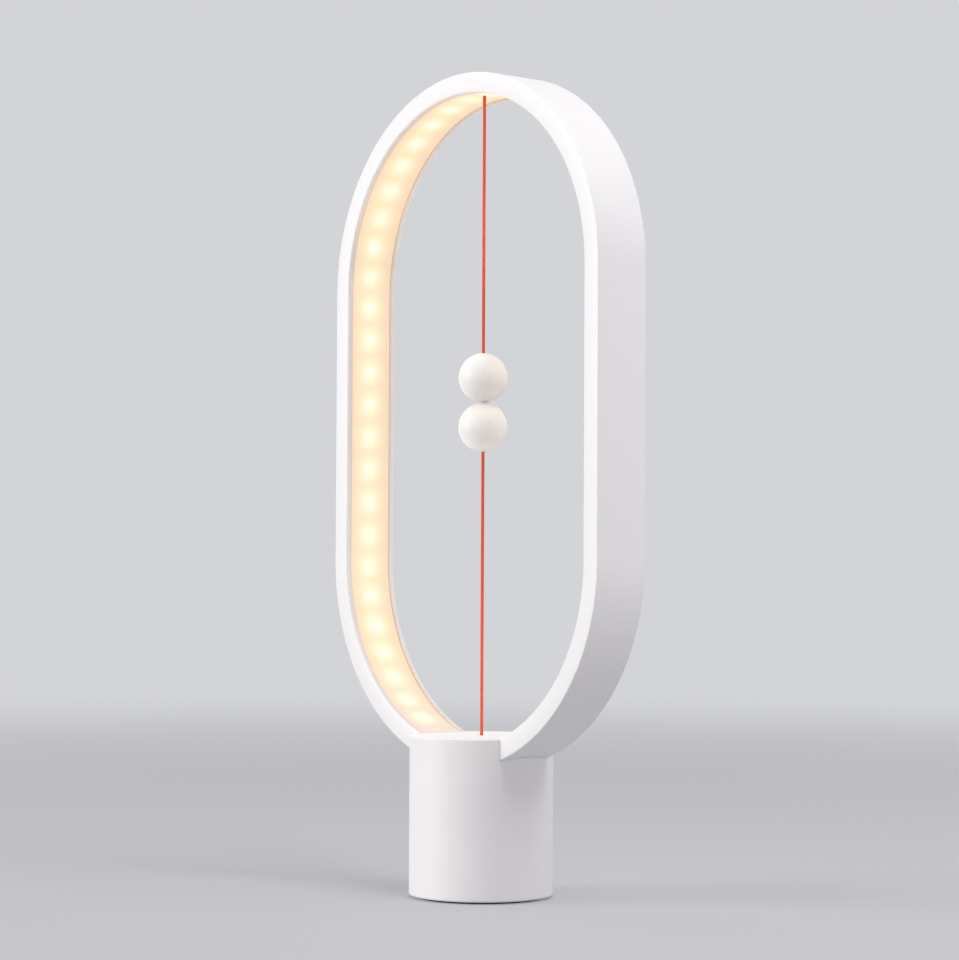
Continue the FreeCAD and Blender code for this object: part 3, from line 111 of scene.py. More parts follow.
# ---- Edges and fine gaps ----
EDGE_ROUND = 0.6 * MM       # outer edges of the casings
LIP_ROUND = 0.9 * MM        # edge where a face turns into its lip
FINE_ROUND = 0.15 * MM
FOOT_ROUND = 1.0 * MM       # lower edge of the base
CUP_EDGE = 0.12 * MM        # edges that are cut into the base
BRIDGE_EDGE = 0.10 * MM
BUSH_MOUTH_ROUND = 0.5 * MM
BUSH_RIM_ROUND = 0.1 * MM
PAD_FOOT_ROUND = 0.3 * MM
PAD_TOP_ROUND = 0.1 * MM
GROOVE_SEAT = 0.05 * MM     # between a piece and the groove or seat that it lies in
BUSH_FIT = 0.02 * MM
SHARP_DEG = 35              # edges sharper than this stay crisp
EASE = 1.0 * MM             # how far a cutting solid reaches past what it cuts

# ---- Sizes of the light ----
CHIP_PITCH = 16.6 * MM
CHIP_START = 11.6 * MM      # first chip to the left of the cord
GLOW_SHIFT = -0.3 * MM      # the chips' glow sits a little toward the front
GLOW_CORE = 2.9 * MM
GLOW_HALO = 5.4 * MM
GLOW_FLOOR = 5.0 * MM       # the spots fade out over this height above the base
WASH_SHIFT = -1.2 * MM      # the even wash between the chips
WASH_FULL = 2.0 * MM
WASH_REACH = 11.2 * MM
BASE_REFLECTION_REACH = 32.0 * MM      # how far up the painted reflection of the base's white reaches into the wash
LIP_GLOW_REACH = 2.6 * MM       # how far from the face the lip's painted glow reaches full strength

INNER_R = LOOP_R - BAND
LOWER_Z = BASE_TOP - LOOP_SINK + LOOP_R         # centre of the loop's lower arc
STRAIGHT = UPPER_Z - LOWER_Z
RIM_INSIDE = LOOP_R - RIM_WALL
WALL_INSIDE = HALF_DEPTH - SIDE_WALL
LIP_INSIDE = HALF_DEPTH - LIP_WIDTH
DIFFUSER_R = INNER_R + LIP_STEP
LIP_BACK_R = DIFFUSER_BACK + LIP_BACK
STRIP_R = RIM_INSIDE - STRIP_THICKNESS
BASE_INSIDE = BASE_R - BASE_WALL
DECK_ROOF = BASE_TOP - BASE_DECK
PORT_FLOOR = BASE_R - PORT_DEPTH


# ---- Colour and node helpers ----
# Sockets of a Mix node for colours, whose names it uses more than once.
SHARE, FIRST, SECOND, MIXED = 0, 6, 7, 2


def linear(code):
    """A hex sRGB colour as the linear colour that shaders use."""
    channels = [int(code[i:i + 2], 16) / 255 for i in (0, 2, 4)]
    return tuple(c / 12.92 if c <= 0.04045 else ((c + 0.055) / 1.055) ** 2.4 for c in channels) + (1.0,)


def feed(node, inputs):
    """Gives each of these inputs its plain value, or the output of another node."""
    for socket, value in inputs.items():
        if isinstance(value, bpy.types.NodeSocket):
            node.id_data.links.new(value, node.inputs[socket])
        else:
            node.inputs[socket].default_value = value


def add(tree, kind, inputs=None, **options):
    """Adds a node with its settings and links."""
    node = tree.nodes.new(kind)
    for option, value in options.items():
        setattr(node, option, value)
    feed(node, inputs or {})
    return node


def start_material(name, inputs):
    """A material with one principled shader, whose plain numbers and colours sit on its own sockets."""
    material = bpy.data.materials.new(name)
    material.use_nodes = True
    shader = material.node_tree.nodes["Principled BSDF"]
    feed(shader, inputs)
    return material, material.node_tree, shader


def per_mm(size):
    """Texture scale that gives features of about this many millimetres."""
    return 1000.0 / size


# ---- Materials ----
def abs_moulded_satin():
    """Injection-moulded ABS from a spark-eroded tool: even white with a satin sheen and a fine grain."""
    material, tree, shader = start_material("abs_moulded_satin", {"IOR": 1.54})
    place = add(tree, "ShaderNodeTexCoord").outputs["Object"]
    flow = add(tree, "ShaderNodeTexNoise", {"Vector": place, "Scale": per_mm(55), "Detail": 2.0}).outputs[0]
    white = add(tree, "ShaderNodeMix", {SHARE: flow, FIRST: linear("EFEFF0"), SECOND: linear("F4F4F4")},
                data_type="RGBA").outputs[MIXED]
    # Painted glow: the lips are tinted warm, standing in for the diffuser's light soaking into them from its
    # edges.
    lip = add(tree, "ShaderNodeAttribute", attribute_name="lip").outputs["Fac"]
    colour = add(tree, "ShaderNodeMix", {SHARE: lip, FIRST: white, SECOND: linear("E8DBD1")},
                 data_type="RGBA").outputs[MIXED]
    polish = add(tree, "ShaderNodeMapRange", {"Value": flow, "To Min": 0.40, "To Max": 0.50}).outputs[0]
    # The tool's grain is about a tenth of a millimetre; it is drawn at 0.45 mm so that it shows.
    grain = add(tree, "ShaderNodeTexNoise",
                {"Vector": place, "Scale": per_mm(0.45), "Detail": 3.0}).outputs[0]
    bump = add(tree, "ShaderNodeBump", {"Height": grain, "Strength": 0.05, "Distance": 0.03 * MM}).outputs[0]
    feed(shader, {"Base Color": colour, "Roughness": polish, "Normal": bump})
    return material


def acrylic_frosted_lit():
    """Extruded opal acrylic, lit from behind by warm chips that show as soft spots at their pitch."""
    material, tree, shader = start_material("acrylic_frosted_lit", {"IOR": 1.49, "Emission Strength": 0.86})
    along = add(tree, "ShaderNodeAttribute", attribute_name="along").outputs["Fac"]
    across = add(tree, "ShaderNodeAttribute", attribute_name="across").outputs["Fac"]
    place = add(tree, "ShaderNodeTexCoord").outputs["Object"]
    height = add(tree, "ShaderNodeSeparateXYZ", {0: place}).outputs["Z"]

    # How far a point of the strip lies from the nearest chip.
    start = add(tree, "ShaderNodeMath", {0: along, 1: CHIP_PITCH / 2 - CHIP_START},
                operation="ADD").outputs[0]
    cell = add(tree, "ShaderNodeMath", {0: start, 1: CHIP_PITCH}, operation="FLOORED_MODULO").outputs[0]
    away = add(tree, "ShaderNodeMath", {0: cell, 1: CHIP_PITCH / 2}, operation="SUBTRACT").outputs[0]
    aside = add(tree, "ShaderNodeMath", {0: across, 1: GLOW_SHIFT}, operation="SUBTRACT").outputs[0]
    offset = add(tree, "ShaderNodeCombineXYZ", {0: away, 1: aside}).outputs[0]
    distance = add(tree, "ShaderNodeVectorMath", {0: offset}, operation="LENGTH").outputs["Value"]

    # Each spot is a bell curve, a bright core in a wider halo, and fades out where the base hides its chip.
    clear = add(tree, "ShaderNodeMapRange",
                {"Value": height, "From Min": BASE_TOP, "From Max": BASE_TOP + GLOW_FLOOR},
                interpolation_type="SMOOTHSTEP").outputs[0]
    spots = []
    for reach in (GLOW_CORE, GLOW_HALO):
        share = add(tree, "ShaderNodeMath", {0: distance, 1: reach}, operation="DIVIDE").outputs[0]
        square = add(tree, "ShaderNodeMath", {0: share, 1: 2.0}, operation="POWER").outputs[0]
        drop = add(tree, "ShaderNodeMath", {0: square, 1: -0.5}, operation="MULTIPLY").outputs[0]
        bell = add(tree, "ShaderNodeMath", {0: drop}, operation="EXPONENT").outputs[0]
        spots.append(add(tree, "ShaderNodeMath", {0: bell, 1: clear}, operation="MULTIPLY").outputs[0])
    core, halo = spots

    # Between the spots the strip is washed with light that turns to amber at its edges.
    beside = add(tree, "ShaderNodeMath", {0: across, 1: WASH_SHIFT}, operation="SUBTRACT").outputs[0]
    edge = add(tree, "ShaderNodeMath", {0: beside}, operation="ABSOLUTE").outputs[0]
    wash = add(tree, "ShaderNodeMapRange",
               {"Value": edge, "From Min": WASH_FULL, "From Max": WASH_REACH, "To Min": 1.0, "To Max": 0.0},
               interpolation_type="SMOOTHSTEP").outputs[0]
    amber = add(tree, "ShaderNodeMix", {SHARE: wash, FIRST: linear("E8C8A6"), SECOND: linear("F0DAAD")},
                data_type="RGBA").outputs[MIXED]
    # Painted reflection: close to the base the light is painted paler and greyer, for the white of the
    # base's top reflected into it.
    free = add(tree, "ShaderNodeMapRange",
               {"Value": height, "From Min": BASE_TOP, "From Max": BASE_TOP + BASE_REFLECTION_REACH}).outputs[0]
    tone = add(tree, "ShaderNodeMix", {SHARE: free, FIRST: linear("D8C8BA"), SECOND: amber},
               data_type="RGBA").outputs[MIXED]
    warm = add(tree, "ShaderNodeMix", {SHARE: halo, FIRST: tone, SECOND: linear("F8E8BC")},
               data_type="RGBA").outputs[MIXED]
    lit = add(tree, "ShaderNodeMix", {SHARE: core, FIRST: warm, SECOND: linear("FFFBE4")},
              data_type="RGBA").outputs[MIXED]

    # The frosting that a textured roller leaves is about 0.2 mm; it is drawn at 0.6 mm so that it shows.
    frost = add(tree, "ShaderNodeTexNoise",
                {"Vector": place, "Scale": per_mm(0.6), "Detail": 2.0}).outputs[0]
    opal = add(tree, "ShaderNodeMix", {SHARE: frost, FIRST: linear("8F877C"), SECOND: linear("979085")},
               data_type="RGBA").outputs[MIXED]
    polish = add(tree, "ShaderNodeMapRange", {"Value": frost, "To Min": 0.50, "To Max": 0.62}).outputs[0]
    bump = add(tree, "ShaderNodeBump", {"Height": frost, "Strength": 0.08, "Distance": 0.02 * MM}).outputs[0]
    feed(shader, {"Base Color": opal, "Emission Color": lit, "Roughness": polish, "Normal": bump})
    return material


def lacquer_sprayed_white():
    """Matt lacquer sprayed on a turned ball: warm white with a faint orange peel."""
    material, tree, shader = start_material("lacquer_sprayed_white", {"IOR": 1.50})
    place = add(tree, "ShaderNodeTexCoord").outputs["Object"]
    cloud = add(tree, "ShaderNodeTexNoise", {"Vector": place, "Scale": per_mm(9), "Detail": 2.0}).outputs[0]
    colour = add(tree, "ShaderNodeMix", {SHARE: cloud, FIRST: linear("F3F2F1"), SECOND: linear("F7F6F5")},
                 data_type="RGBA").outputs[MIXED]
    polish = add(tree, "ShaderNodeMapRange", {"Value": cloud, "To Min": 0.42, "To Max": 0.54}).outputs[0]
    peel = add(tree, "ShaderNodeTexNoise", {"Vector": place, "Scale": per_mm(0.9), "Detail": 2.0}).outputs[0]
    bump = add(tree, "ShaderNodeBump", {"Height": peel, "Strength": 0.12, "Distance": 0.03 * MM}).outputs[0]
    feed(shader, {"Base Color": colour, "Roughness": polish, "Normal": bump})
    return material


def polyester_braided_red():
    """Braided polyester cord, orange red: painted highlight on the strands' crowns, painted shade where they
    cross under.
    """
    material, tree, shader = start_material("polyester_braided_red", {
        "IOR": 1.53, "Sheen Weight": 0.35, "Sheen Roughness": 0.4})
    crown = add(tree, "ShaderNodeAttribute", attribute_name="crown").outputs["Fac"]
    place = add(tree, "ShaderNodeTexCoord").outputs["Object"]
    # Single fibres are about 0.02 mm; they are drawn at 0.25 mm so that they show.
    fibre = add(tree, "ShaderNodeTexNoise",
                {"Vector": place, "Scale": per_mm(0.25), "Detail": 3.0}).outputs[0]
    height = add(tree, "ShaderNodeMath", {0: crown, 1: fibre}, operation="MULTIPLY").outputs[0]
    # The colour follows the braid's height: painted shade where a strand dives under, painted highlight on
    # its crown.
    colour = add(tree, "ShaderNodeValToRGB", {0: height})
    under, over = colour.color_ramp.elements
    under.color = linear("AE3018")
    over.position = 0.55
    over.color = linear("F7653B")
    polish = add(tree, "ShaderNodeMapRange", {"Value": fibre, "To Min": 0.60, "To Max": 0.80}).outputs[0]
    bump = add(tree, "ShaderNodeBump", {"Height": fibre, "Strength": 0.3, "Distance": 0.05 * MM}).outputs[0]
    feed(shader, {"Base Color": colour.outputs[0], "Roughness": polish, "Normal": bump})
    return material


def moulded_plastic(name, dark, light, rough, ior=1.54, grain_size=0.5):
    """Moulded plastic of one colour, with the grain of its tool."""
    material, tree, shader = start_material(name, {"IOR": ior})
    place = add(tree, "ShaderNodeTexCoord").outputs["Object"]
    # The tool's grain is about a tenth of a millimetre; it is drawn coarser so that it shows.
    grain = add(tree, "ShaderNodeTexNoise",
                {"Vector": place, "Scale": per_mm(grain_size), "Detail": 3.0}).outputs[0]
    colour = add(tree, "ShaderNodeMix", {SHARE: grain, FIRST: linear(dark), SECOND: linear(light)},
                 data_type="RGBA").outputs[MIXED]
    polish = add(tree, "ShaderNodeMapRange",
                 {"Value": grain, "To Min": rough - 0.06, "To Max": rough + 0.06}).outputs[0]
    bump = add(tree, "ShaderNodeBump", {"Height": grain, "Strength": 0.2, "Distance": 0.04 * MM}).outputs[0]
    feed(shader, {"Base Color": colour, "Roughness": polish, "Normal": bump})
    return material


def worked_metal(name, dark, light, rough, stretch=(1, 1, 1), grain_size=0.3):
    """Metal whose fine marks may run one way, as rolling, drawing and turning leave them."""
    material, tree, shader = start_material(name, {"Metallic": 1.0})
    place = add(tree, "ShaderNodeTexCoord").outputs["Object"]
    run = add(tree, "ShaderNodeMapping", {"Vector": place, "Scale": stretch}).outputs[0]
    # Such marks are a few hundredths of a millimetre apart; they are drawn coarser so that they show.
    marks = add(tree, "ShaderNodeTexNoise",
                {"Vector": run, "Scale": per_mm(grain_size), "Detail": 4.0}).outputs[0]
    colour = add(tree, "ShaderNodeMix", {SHARE: marks, FIRST: linear(dark), SECOND: linear(light)},
                 data_type="RGBA").outputs[MIXED]
    polish = add(tree, "ShaderNodeMapRange",
                 {"Value": marks, "To Min": rough - 0.08, "To Max": rough + 0.08}).outputs[0]
    bump = add(tree, "ShaderNodeBump", {"Height": marks, "Strength": 0.15, "Distance": 0.02 * MM}).outputs[0]
    feed(shader, {"Base Color": colour, "Roughness": polish, "Normal": bump})
    return material


def eva_foam_black():
    """Closed-cell EVA foam, die cut: matt black with fine pores that grip the table."""
    material, tree, shader = start_material("eva_foam_black", {"IOR": 1.48})
    place = add(tree, "ShaderNodeTexCoord").outputs["Object"]
    # The cells are about 0.2 mm; they are drawn at 0.5 mm so that they show.
    cells = add(tree, "ShaderNodeTexVoronoi", {"Vector": place, "Scale": per_mm(0.5)}).outputs["Distance"]
    colour = add(tree, "ShaderNodeMix", {SHARE: cells, FIRST: linear("131314"), SECOND: linear("26262A")},
                 data_type="RGBA").outputs[MIXED]
    polish = add(tree, "ShaderNodeMapRange", {"Value": cells, "To Min": 0.78, "To Max": 0.95}).outputs[0]
    bump = add(tree, "ShaderNodeBump", {"Height": cells, "Strength": 0.5, "Distance": 0.15 * MM}).outputs[0]
    feed(shader, {"Base Color": colour, "Roughness": polish, "Normal": bump})
    return material


def iron_cast_blacked():
    """Grey iron cast in sand and blacked: dull, with a pebbled skin."""
    material, tree, shader = start_material("iron_cast_blacked", {"Metallic": 1.0})
    place = add(tree, "ShaderNodeTexCoord").outputs["Object"]
    sand = add(tree, "ShaderNodeTexNoise", {"Vector": place, "Scale": per_mm(0.8), "Detail": 5.0}).outputs[0]
    cloud = add(tree, "ShaderNodeTexNoise", {"Vector": place, "Scale": per_mm(11), "Detail": 3.0}).outputs[0]
    colour = add(tree, "ShaderNodeMix", {SHARE: cloud, FIRST: linear("3A3A3D"), SECOND: linear("4D4A48")},
                 data_type="RGBA").outputs[MIXED]
    polish = add(tree, "ShaderNodeMapRange", {"Value": sand, "To Min": 0.55, "To Max": 0.80}).outputs[0]
    bump = add(tree, "ShaderNodeBump", {"Height": sand, "Strength": 0.6, "Distance": 0.2 * MM}).outputs[0]
    feed(shader, {"Base Color": colour, "Roughness": polish, "Normal": bump})
    return material


def board_solder_mask(name, mask, over_copper, track_size):
    """Glass-epoxy board under solder mask: tracks stand slightly proud and lighter."""
    material, tree, shader = start_material(name, {"IOR": 1.55})
    place = add(tree, "ShaderNodeTexCoord").outputs["Object"]
    tracks = add(tree, "ShaderNodeTexVoronoi", {"Vector": place, "Scale": per_mm(track_size)},
                 distance="MANHATTAN", feature="F1").outputs["Distance"]
    edge = add(tree, "ShaderNodeMapRange", {"Value": tracks, "From Min": 0.42, "From Max": 0.48}).outputs[0]
    colour = add(tree, "ShaderNodeMix", {SHARE: edge, FIRST: linear(mask), SECOND: linear(over_copper)},
                 data_type="RGBA").outputs[MIXED]
    weave = add(tree, "ShaderNodeTexNoise",
                {"Vector": place, "Scale": per_mm(0.6), "Detail": 2.0}).outputs[0]
    polish = add(tree, "ShaderNodeMapRange", {"Value": weave, "To Min": 0.25, "To Max": 0.40}).outputs[0]
    bump = add(tree, "ShaderNodeBump", {"Height": edge, "Strength": 0.4, "Distance": 0.04 * MM}).outputs[0]
    feed(shader, {"Base Color": colour, "Roughness": polish, "Normal": bump})
    return material


def phosphor_lit():
    """Silicone filled with phosphor over each chip: yellow, glowing while the lamp is on."""
    material, tree, shader = start_material("phosphor_lit", {"IOR": 1.41, "Emission Strength": 1.5})
    place = add(tree, "ShaderNodeTexCoord").outputs["Object"]
    # The grains are about 0.02 mm; they are drawn at 0.2 mm so that they show.
    grains = add(tree, "ShaderNodeTexNoise",
                 {"Vector": place, "Scale": per_mm(0.2), "Detail": 2.0}).outputs[0]
    colour = add(tree, "ShaderNodeMix", {SHARE: grains, FIRST: linear("E2B93F"), SECOND: linear("F1CD5E")},
                 data_type="RGBA").outputs[MIXED]
    glow = add(tree, "ShaderNodeMix", {SHARE: grains, FIRST: linear("FFE2A0"), SECOND: linear("FFF0C4")},
               data_type="RGBA").outputs[MIXED]
    polish = add(tree, "ShaderNodeMapRange", {"Value": grains, "To Min": 0.35, "To Max": 0.50}).outputs[0]
    feed(shader, {"Base Color": colour, "Emission Color": glow, "Roughness": polish})
    return material


ABS = abs_moulded_satin()
ACRYLIC = acrylic_frosted_lit()
LACQUER = lacquer_sprayed_white()
BRAID = polyester_braided_red()
FOAM = eva_foam_black()


# ---- Mesh helpers ----
WELD = 1e-7                 # points closer than this are one


def rounded(outline, steps=5):
    """A closed outline of (first, second, radius) corners, with an arc at each corner that has a radius."""
    points = []
    count = len(outline)
    for i, (x, y, radius) in enumerate(outline):
        corner = Vector((x, y))
        if radius == 0:
            points.append(corner)
            continue
        before = Vector(outline[i - 1][:2]) - corner
        after = Vector(outline[(i + 1) % count][:2]) - corner
        before.normalize()
        after.normalize()
        half = before.angle(after) / 2
        centre = corner + (before + after).normalized() * (radius / math.sin(half))
        first = corner + before * (radius / math.tan(half)) - centre
        last = corner + after * (radius / math.tan(half)) - centre
        sweep = first.angle_signed(last)
        for step in range(steps + 1):
            turn = -sweep * step / steps
            points.append(centre + Matrix.Rotation(turn, 2) @ first)
    return points


def new_piece(name, bm, material, sharp_deg=SHARP_DEG):
    """Turns a bmesh into an object with outward faces, smooth between its real edges."""
    bmesh.ops.remove_doubles(bm, verts=bm.verts, dist=WELD)
    bmesh.ops.recalc_face_normals(bm, faces=bm.faces)
    mesh = bpy.data.meshes.new(name)
    bm.to_mesh(mesh)
    bm.free()
    mesh.materials.append(material)
    mesh.shade_smooth()
    mesh.set_sharp_from_angle(angle=math.radians(sharp_deg))
    piece = bpy.data.objects.new(name, mesh)
    bpy.context.scene.collection.objects.link(piece)
    return piece


def skin(bm, rings):
    """Closes the solid that runs from the first ring of points to the last."""
    for before, after in zip(rings, rings[1:]):
        for i in range(len(before)):
            bm.faces.new((before[i - 1], before[i], after[i], after[i - 1]))
    bm.faces.new(rings[0])
    bm.faces.new(rings[-1])


def band_stops(arc_steps=128):
    """Stops along the band, from its right end over the top to its left end.

    Each stop has the height of its arc's centre, the direction outward, and the distance from the top,
    measured along the chips' strip and positive to the left."""
    end = math.acos(LOOP_END_X / LOOP_R)
    quarter = STRIP_R * math.pi / 2
    foot_steps = int(arc_steps * end / math.pi)
    stops = []
    for i in range(foot_steps + 1):
        angle = end * (i / foot_steps - 1)
        stops.append((LOWER_Z, angle, STRIP_R * angle - STRAIGHT - quarter))
    for i in range(arc_steps + 1):
        angle = math.pi * i / arc_steps
        stops.append((UPPER_Z, angle, STRIP_R * angle - quarter))
    for i in range(foot_steps + 1):
        angle = end * i / foot_steps
        stops.append((LOWER_Z, math.pi + angle, STRIP_R * angle + STRAIGHT + quarter))
    return stops


def along_band(name, section, material):
    """Sweeps a closed section of (radius, depth) points along the band."""
    bm = bmesh.new()
    along = bm.verts.layers.float.new("along")
    across = bm.verts.layers.float.new("across")
    lip = bm.verts.layers.float.new("lip")
    rings = []
    for height, angle, distance in band_stops():
        ring = []
        for radius, depth in section:
            vertex = bm.verts.new((radius * math.cos(angle), depth, height + radius * math.sin(angle)))
            vertex[along] = distance
            vertex[across] = depth
            # Painted glow on the lips: none at the face, full a little way in toward the diffuser.
            soaked = min(1.0, (HALF_DEPTH - abs(depth)) / LIP_GLOW_REACH)
            vertex[lip] = soaked if radius < INNER_R + LIP_BACK else 0.0
            ring.append(vertex)
        rings.append(ring)
    skin(bm, rings)
    return new_piece(name, bm, material)


def turned(name, profile, material, centre=(0, 0, 0), steps=128, sharp_deg=SHARP_DEG):
    """Turns a closed profile of (radius, height) points round the upright axis."""
    bm = bmesh.new()
    rings = []
    for i in range(steps):
        angle = 2 * math.pi * i / steps
        rings.append([bm.verts.new((radius * math.cos(angle), radius * math.sin(angle), height))
                      for radius, height in profile])
    for i in range(steps):
        before, after = rings[i - 1], rings[i]
        for j in range(len(profile)):
            quad = (before[j - 1], before[j], after[j], after[j - 1])
            if profile[j - 1][0] > 0 or profile[j][0] > 0:
                bm.faces.new(quad)
    bmesh.ops.translate(bm, verts=bm.verts, vec=centre)
    bmesh.ops.remove_doubles(bm, verts=bm.verts, dist=WELD)
    bmesh.ops.dissolve_degenerate(bm, edges=bm.edges, dist=WELD)
    return new_piece(name, bm, material, sharp_deg)


def settle(piece):
    """Makes the result of a piece's modifiers its own mesh."""
    graph = bpy.context.evaluated_depsgraph_get()
    mesh = bpy.data.meshes.new_from_object(piece.evaluated_get(graph))
    piece.modifiers.clear()
    piece.data = mesh


def smooth_shade(piece):
    """Smooth between a piece's real edges."""
    piece.data.shade_smooth()
    piece.data.set_sharp_from_angle(angle=math.radians(SHARP_DEG))


def combine(piece, others, operation):
    """Joins other solids to a piece, or cuts them out of it, and removes them."""
    for other in others:
        modifier = piece.modifiers.new("combine", "BOOLEAN")
        modifier.object = other
        modifier.operation = operation
        modifier.solver = "EXACT"
    settle(piece)
    for other in others:
        bpy.data.objects.remove(other)


def soften(piece, width, segments=2, limit_deg=40):
    """Breaks a piece's sharp edges by a small round."""
    bevel = piece.modifiers.new("edges", "BEVEL")
    bevel.width = width
    bevel.segments = segments
    bevel.limit_method = "ANGLE"
    bevel.angle_limit = math.radians(limit_deg)
    settle(piece)
    smooth_shade(piece)
    normals = piece.modifiers.new("normals", "WEIGHTED_NORMAL")
    normals.keep_sharp = True


def crosswise(name, outline, front, back):
    """A bar whose outline is seen from the front and runs from one depth to another."""
    bm = bmesh.new()
    skin(bm, [[bm.verts.new((x, depth, z)) for x, z in outline] for depth in (front, back)])
    return new_piece(name, bm, ABS)


def loop_drum(name, radius, half_depth, steps=512):
    """A drum across the lamp in the place of the loop's lower arc, to cut its seat out of the base."""
    angles = [2 * math.pi * i / steps for i in range(steps)]
    outline = [(radius * math.cos(angle), LOWER_Z + radius * math.sin(angle)) for angle in angles]
    return crosswise(name, outline, -half_depth, half_depth)


# ---- Loop casing ----
def casing_front():
    """Front wall, outer wall and front lip, one moulding with a groove for the diffuser."""
    section = rounded([
        (INNER_R, -HALF_DEPTH, LIP_ROUND),
        (LOOP_R, -HALF_DEPTH, EDGE_ROUND),
        (LOOP_R, HALF_DEPTH, EDGE_ROUND),
        (RIM_INSIDE, HALF_DEPTH, FINE_ROUND),
        (RIM_INSIDE, -WALL_INSIDE, 0),
        (LIP_BACK_R, -WALL_INSIDE, 0),
        (LIP_BACK_R, -LIP_INSIDE, 0),
        (DIFFUSER_BACK + GROOVE_SEAT, -LIP_INSIDE, 0),
        (DIFFUSER_BACK + GROOVE_SEAT, -WALL_INSIDE, 0),
        (DIFFUSER_R - GROOVE_SEAT, -WALL_INSIDE, 0),
        (DIFFUSER_R - GROOVE_SEAT, -LIP_INSIDE, FINE_ROUND),
        (INNER_R, -LIP_INSIDE, FINE_ROUND),
    ])
    piece = along_band("casing_front", section, ABS)
    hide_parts("loop_front_shell")
    return piece


def casing_rear():
    """Rear cover and rear lip, snapped into the casing with a fine seam round it."""
    cover_r = RIM_INSIDE - COVER_GAP
    section = rounded([
        (INNER_R, HALF_DEPTH, LIP_ROUND),
        (INNER_R, LIP_INSIDE, FINE_ROUND),
        (DIFFUSER_R - GROOVE_SEAT, LIP_INSIDE, FINE_ROUND),
        (DIFFUSER_R - GROOVE_SEAT, WALL_INSIDE, 0),
        (DIFFUSER_BACK + GROOVE_SEAT, WALL_INSIDE, 0),
        (DIFFUSER_BACK + GROOVE_SEAT, LIP_INSIDE, 0),
        (LIP_BACK_R, LIP_INSIDE, 0),
        (LIP_BACK_R, WALL_INSIDE, 0),
        (cover_r, WALL_INSIDE, 0),
        (cover_r, HALF_DEPTH, FINE_ROUND),
    ])
    piece = along_band("casing_rear", section, ABS)
    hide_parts("loop_rear_cover")
    return piece


def light_diffuser():
    """Opal strip between the lips, with a hole for the upper cord."""
    section = rounded([
        (DIFFUSER_R, -DIFFUSER_HALF, 0),
        (DIFFUSER_BACK, -DIFFUSER_HALF, 0),
        (DIFFUSER_BACK, DIFFUSER_HALF, 0),
        (DIFFUSER_R, DIFFUSER_HALF, 0),
    ])
    piece = along_band("light_diffuser", section, ACRYLIC)
    low = UPPER_Z + DIFFUSER_R - EASE
    high = UPPER_Z + DIFFUSER_BACK + EASE
    hole = turned("hole", [(0, low), (CORD_HOLE_R, low), (CORD_HOLE_R, high), (0, high)], ACRYLIC, steps=48)
    combine(piece, [hole], "DIFFERENCE")
    smooth_shade(piece)
    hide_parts("diffuser")
    return piece


# ---- Base casing ----
def port_block(name, width, height, corner, front, back):
    """A bar with rounded corners that runs from one depth to another, level with the power inlet."""
    middle = (inlet_low.z + inlet_high.z) / 2
    outline = rounded([
        (-width / 2, middle - height / 2, corner),
        (width / 2, middle - height / 2, corner),
        (width / 2, middle + height / 2, corner),
        (-width / 2, middle + height / 2, corner),
    ])
    return crosswise(name, outline, front, back)


def base_cup():
    """Round cup with a flat top, notched where the loop stands in it."""
    profile = rounded([
        (BASE_R, BASE_FOOT, FOOT_ROUND),
        (BASE_R, BASE_TOP, EDGE_ROUND),
        (0, BASE_TOP, 0),
        (0, DECK_ROOF, 0),
        (BASE_INSIDE, DECK_ROOF, 0),
        (BASE_INSIDE, BASE_FOOT, 0),
    ])
    piece = turned("base_cup", profile, ABS, steps=256)
    collar = port_block("collar", PORT_WIDTH + 2 * PORT_WALL, PORT_HEIGHT + 2 * PORT_WALL,
                        PORT_CORNER + PORT_WALL, PORT_FLOOR - PORT_WALL, BASE_R - BASE_WALL / 2)
    combine(piece, [collar], "UNION")
    notch = loop_drum("notch", LOOP_R + COVER_GAP, HALF_DEPTH + COVER_GAP)
    recess = port_block("recess", PORT_WIDTH, PORT_HEIGHT, PORT_CORNER, PORT_FLOOR, BASE_R + EASE)
    slot = port_block("slot", inlet_high.x - inlet_low.x + 2 * INLET_FIT,
                      inlet_high.z - inlet_low.z + 2 * INLET_FIT, INLET_CORNER,
                      PORT_FLOOR - PORT_WALL - EASE, PORT_FLOOR + EASE)
    combine(piece, [notch, recess, slot], "DIFFERENCE")
    soften(piece, CUP_EDGE)
    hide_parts("base_housing")
    return piece


def base_bridge():
    """Flat strip between the loop's legs, with the cord's bush let into it."""
    blunt = math.sqrt(INNER_R ** 2 - (LOWER_Z - BASE_TOP) ** 2) - BRIDGE_BLUNT
    radius = INNER_R - COVER_GAP
    low_x = math.sqrt(radius ** 2 - (LOWER_Z - DECK_ROOF) ** 2)
    steps = 8
    right_edge = []
    for i in range(steps + 1):
        x = blunt + (low_x - blunt) * i / steps
        right_edge.append((x, LOWER_Z - math.sqrt(radius ** 2 - x ** 2)))
    left_edge = [(-x, z) for x, z in reversed(right_edge)]
    outline = [(-blunt, BASE_TOP), (blunt, BASE_TOP)] + right_edge + left_edge
    piece = crosswise("base_bridge", outline, -HALF_DEPTH, HALF_DEPTH)
    seat = BASE_TOP - BUSH_FLANGE
    above = BASE_TOP + EASE
    below = DECK_ROOF - EASE
    flange_r = BUSH_FLANGE_R + GROOVE_SEAT
    bore = turned("bore", [(0, below), (BUSH_R, below), (BUSH_R, seat),
                           (flange_r, seat), (flange_r, above), (0, above)], ABS, steps=96)
    combine(piece, [bore], "DIFFERENCE")
    soften(piece, BRIDGE_EDGE)
    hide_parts("top_bridge")
    return piece


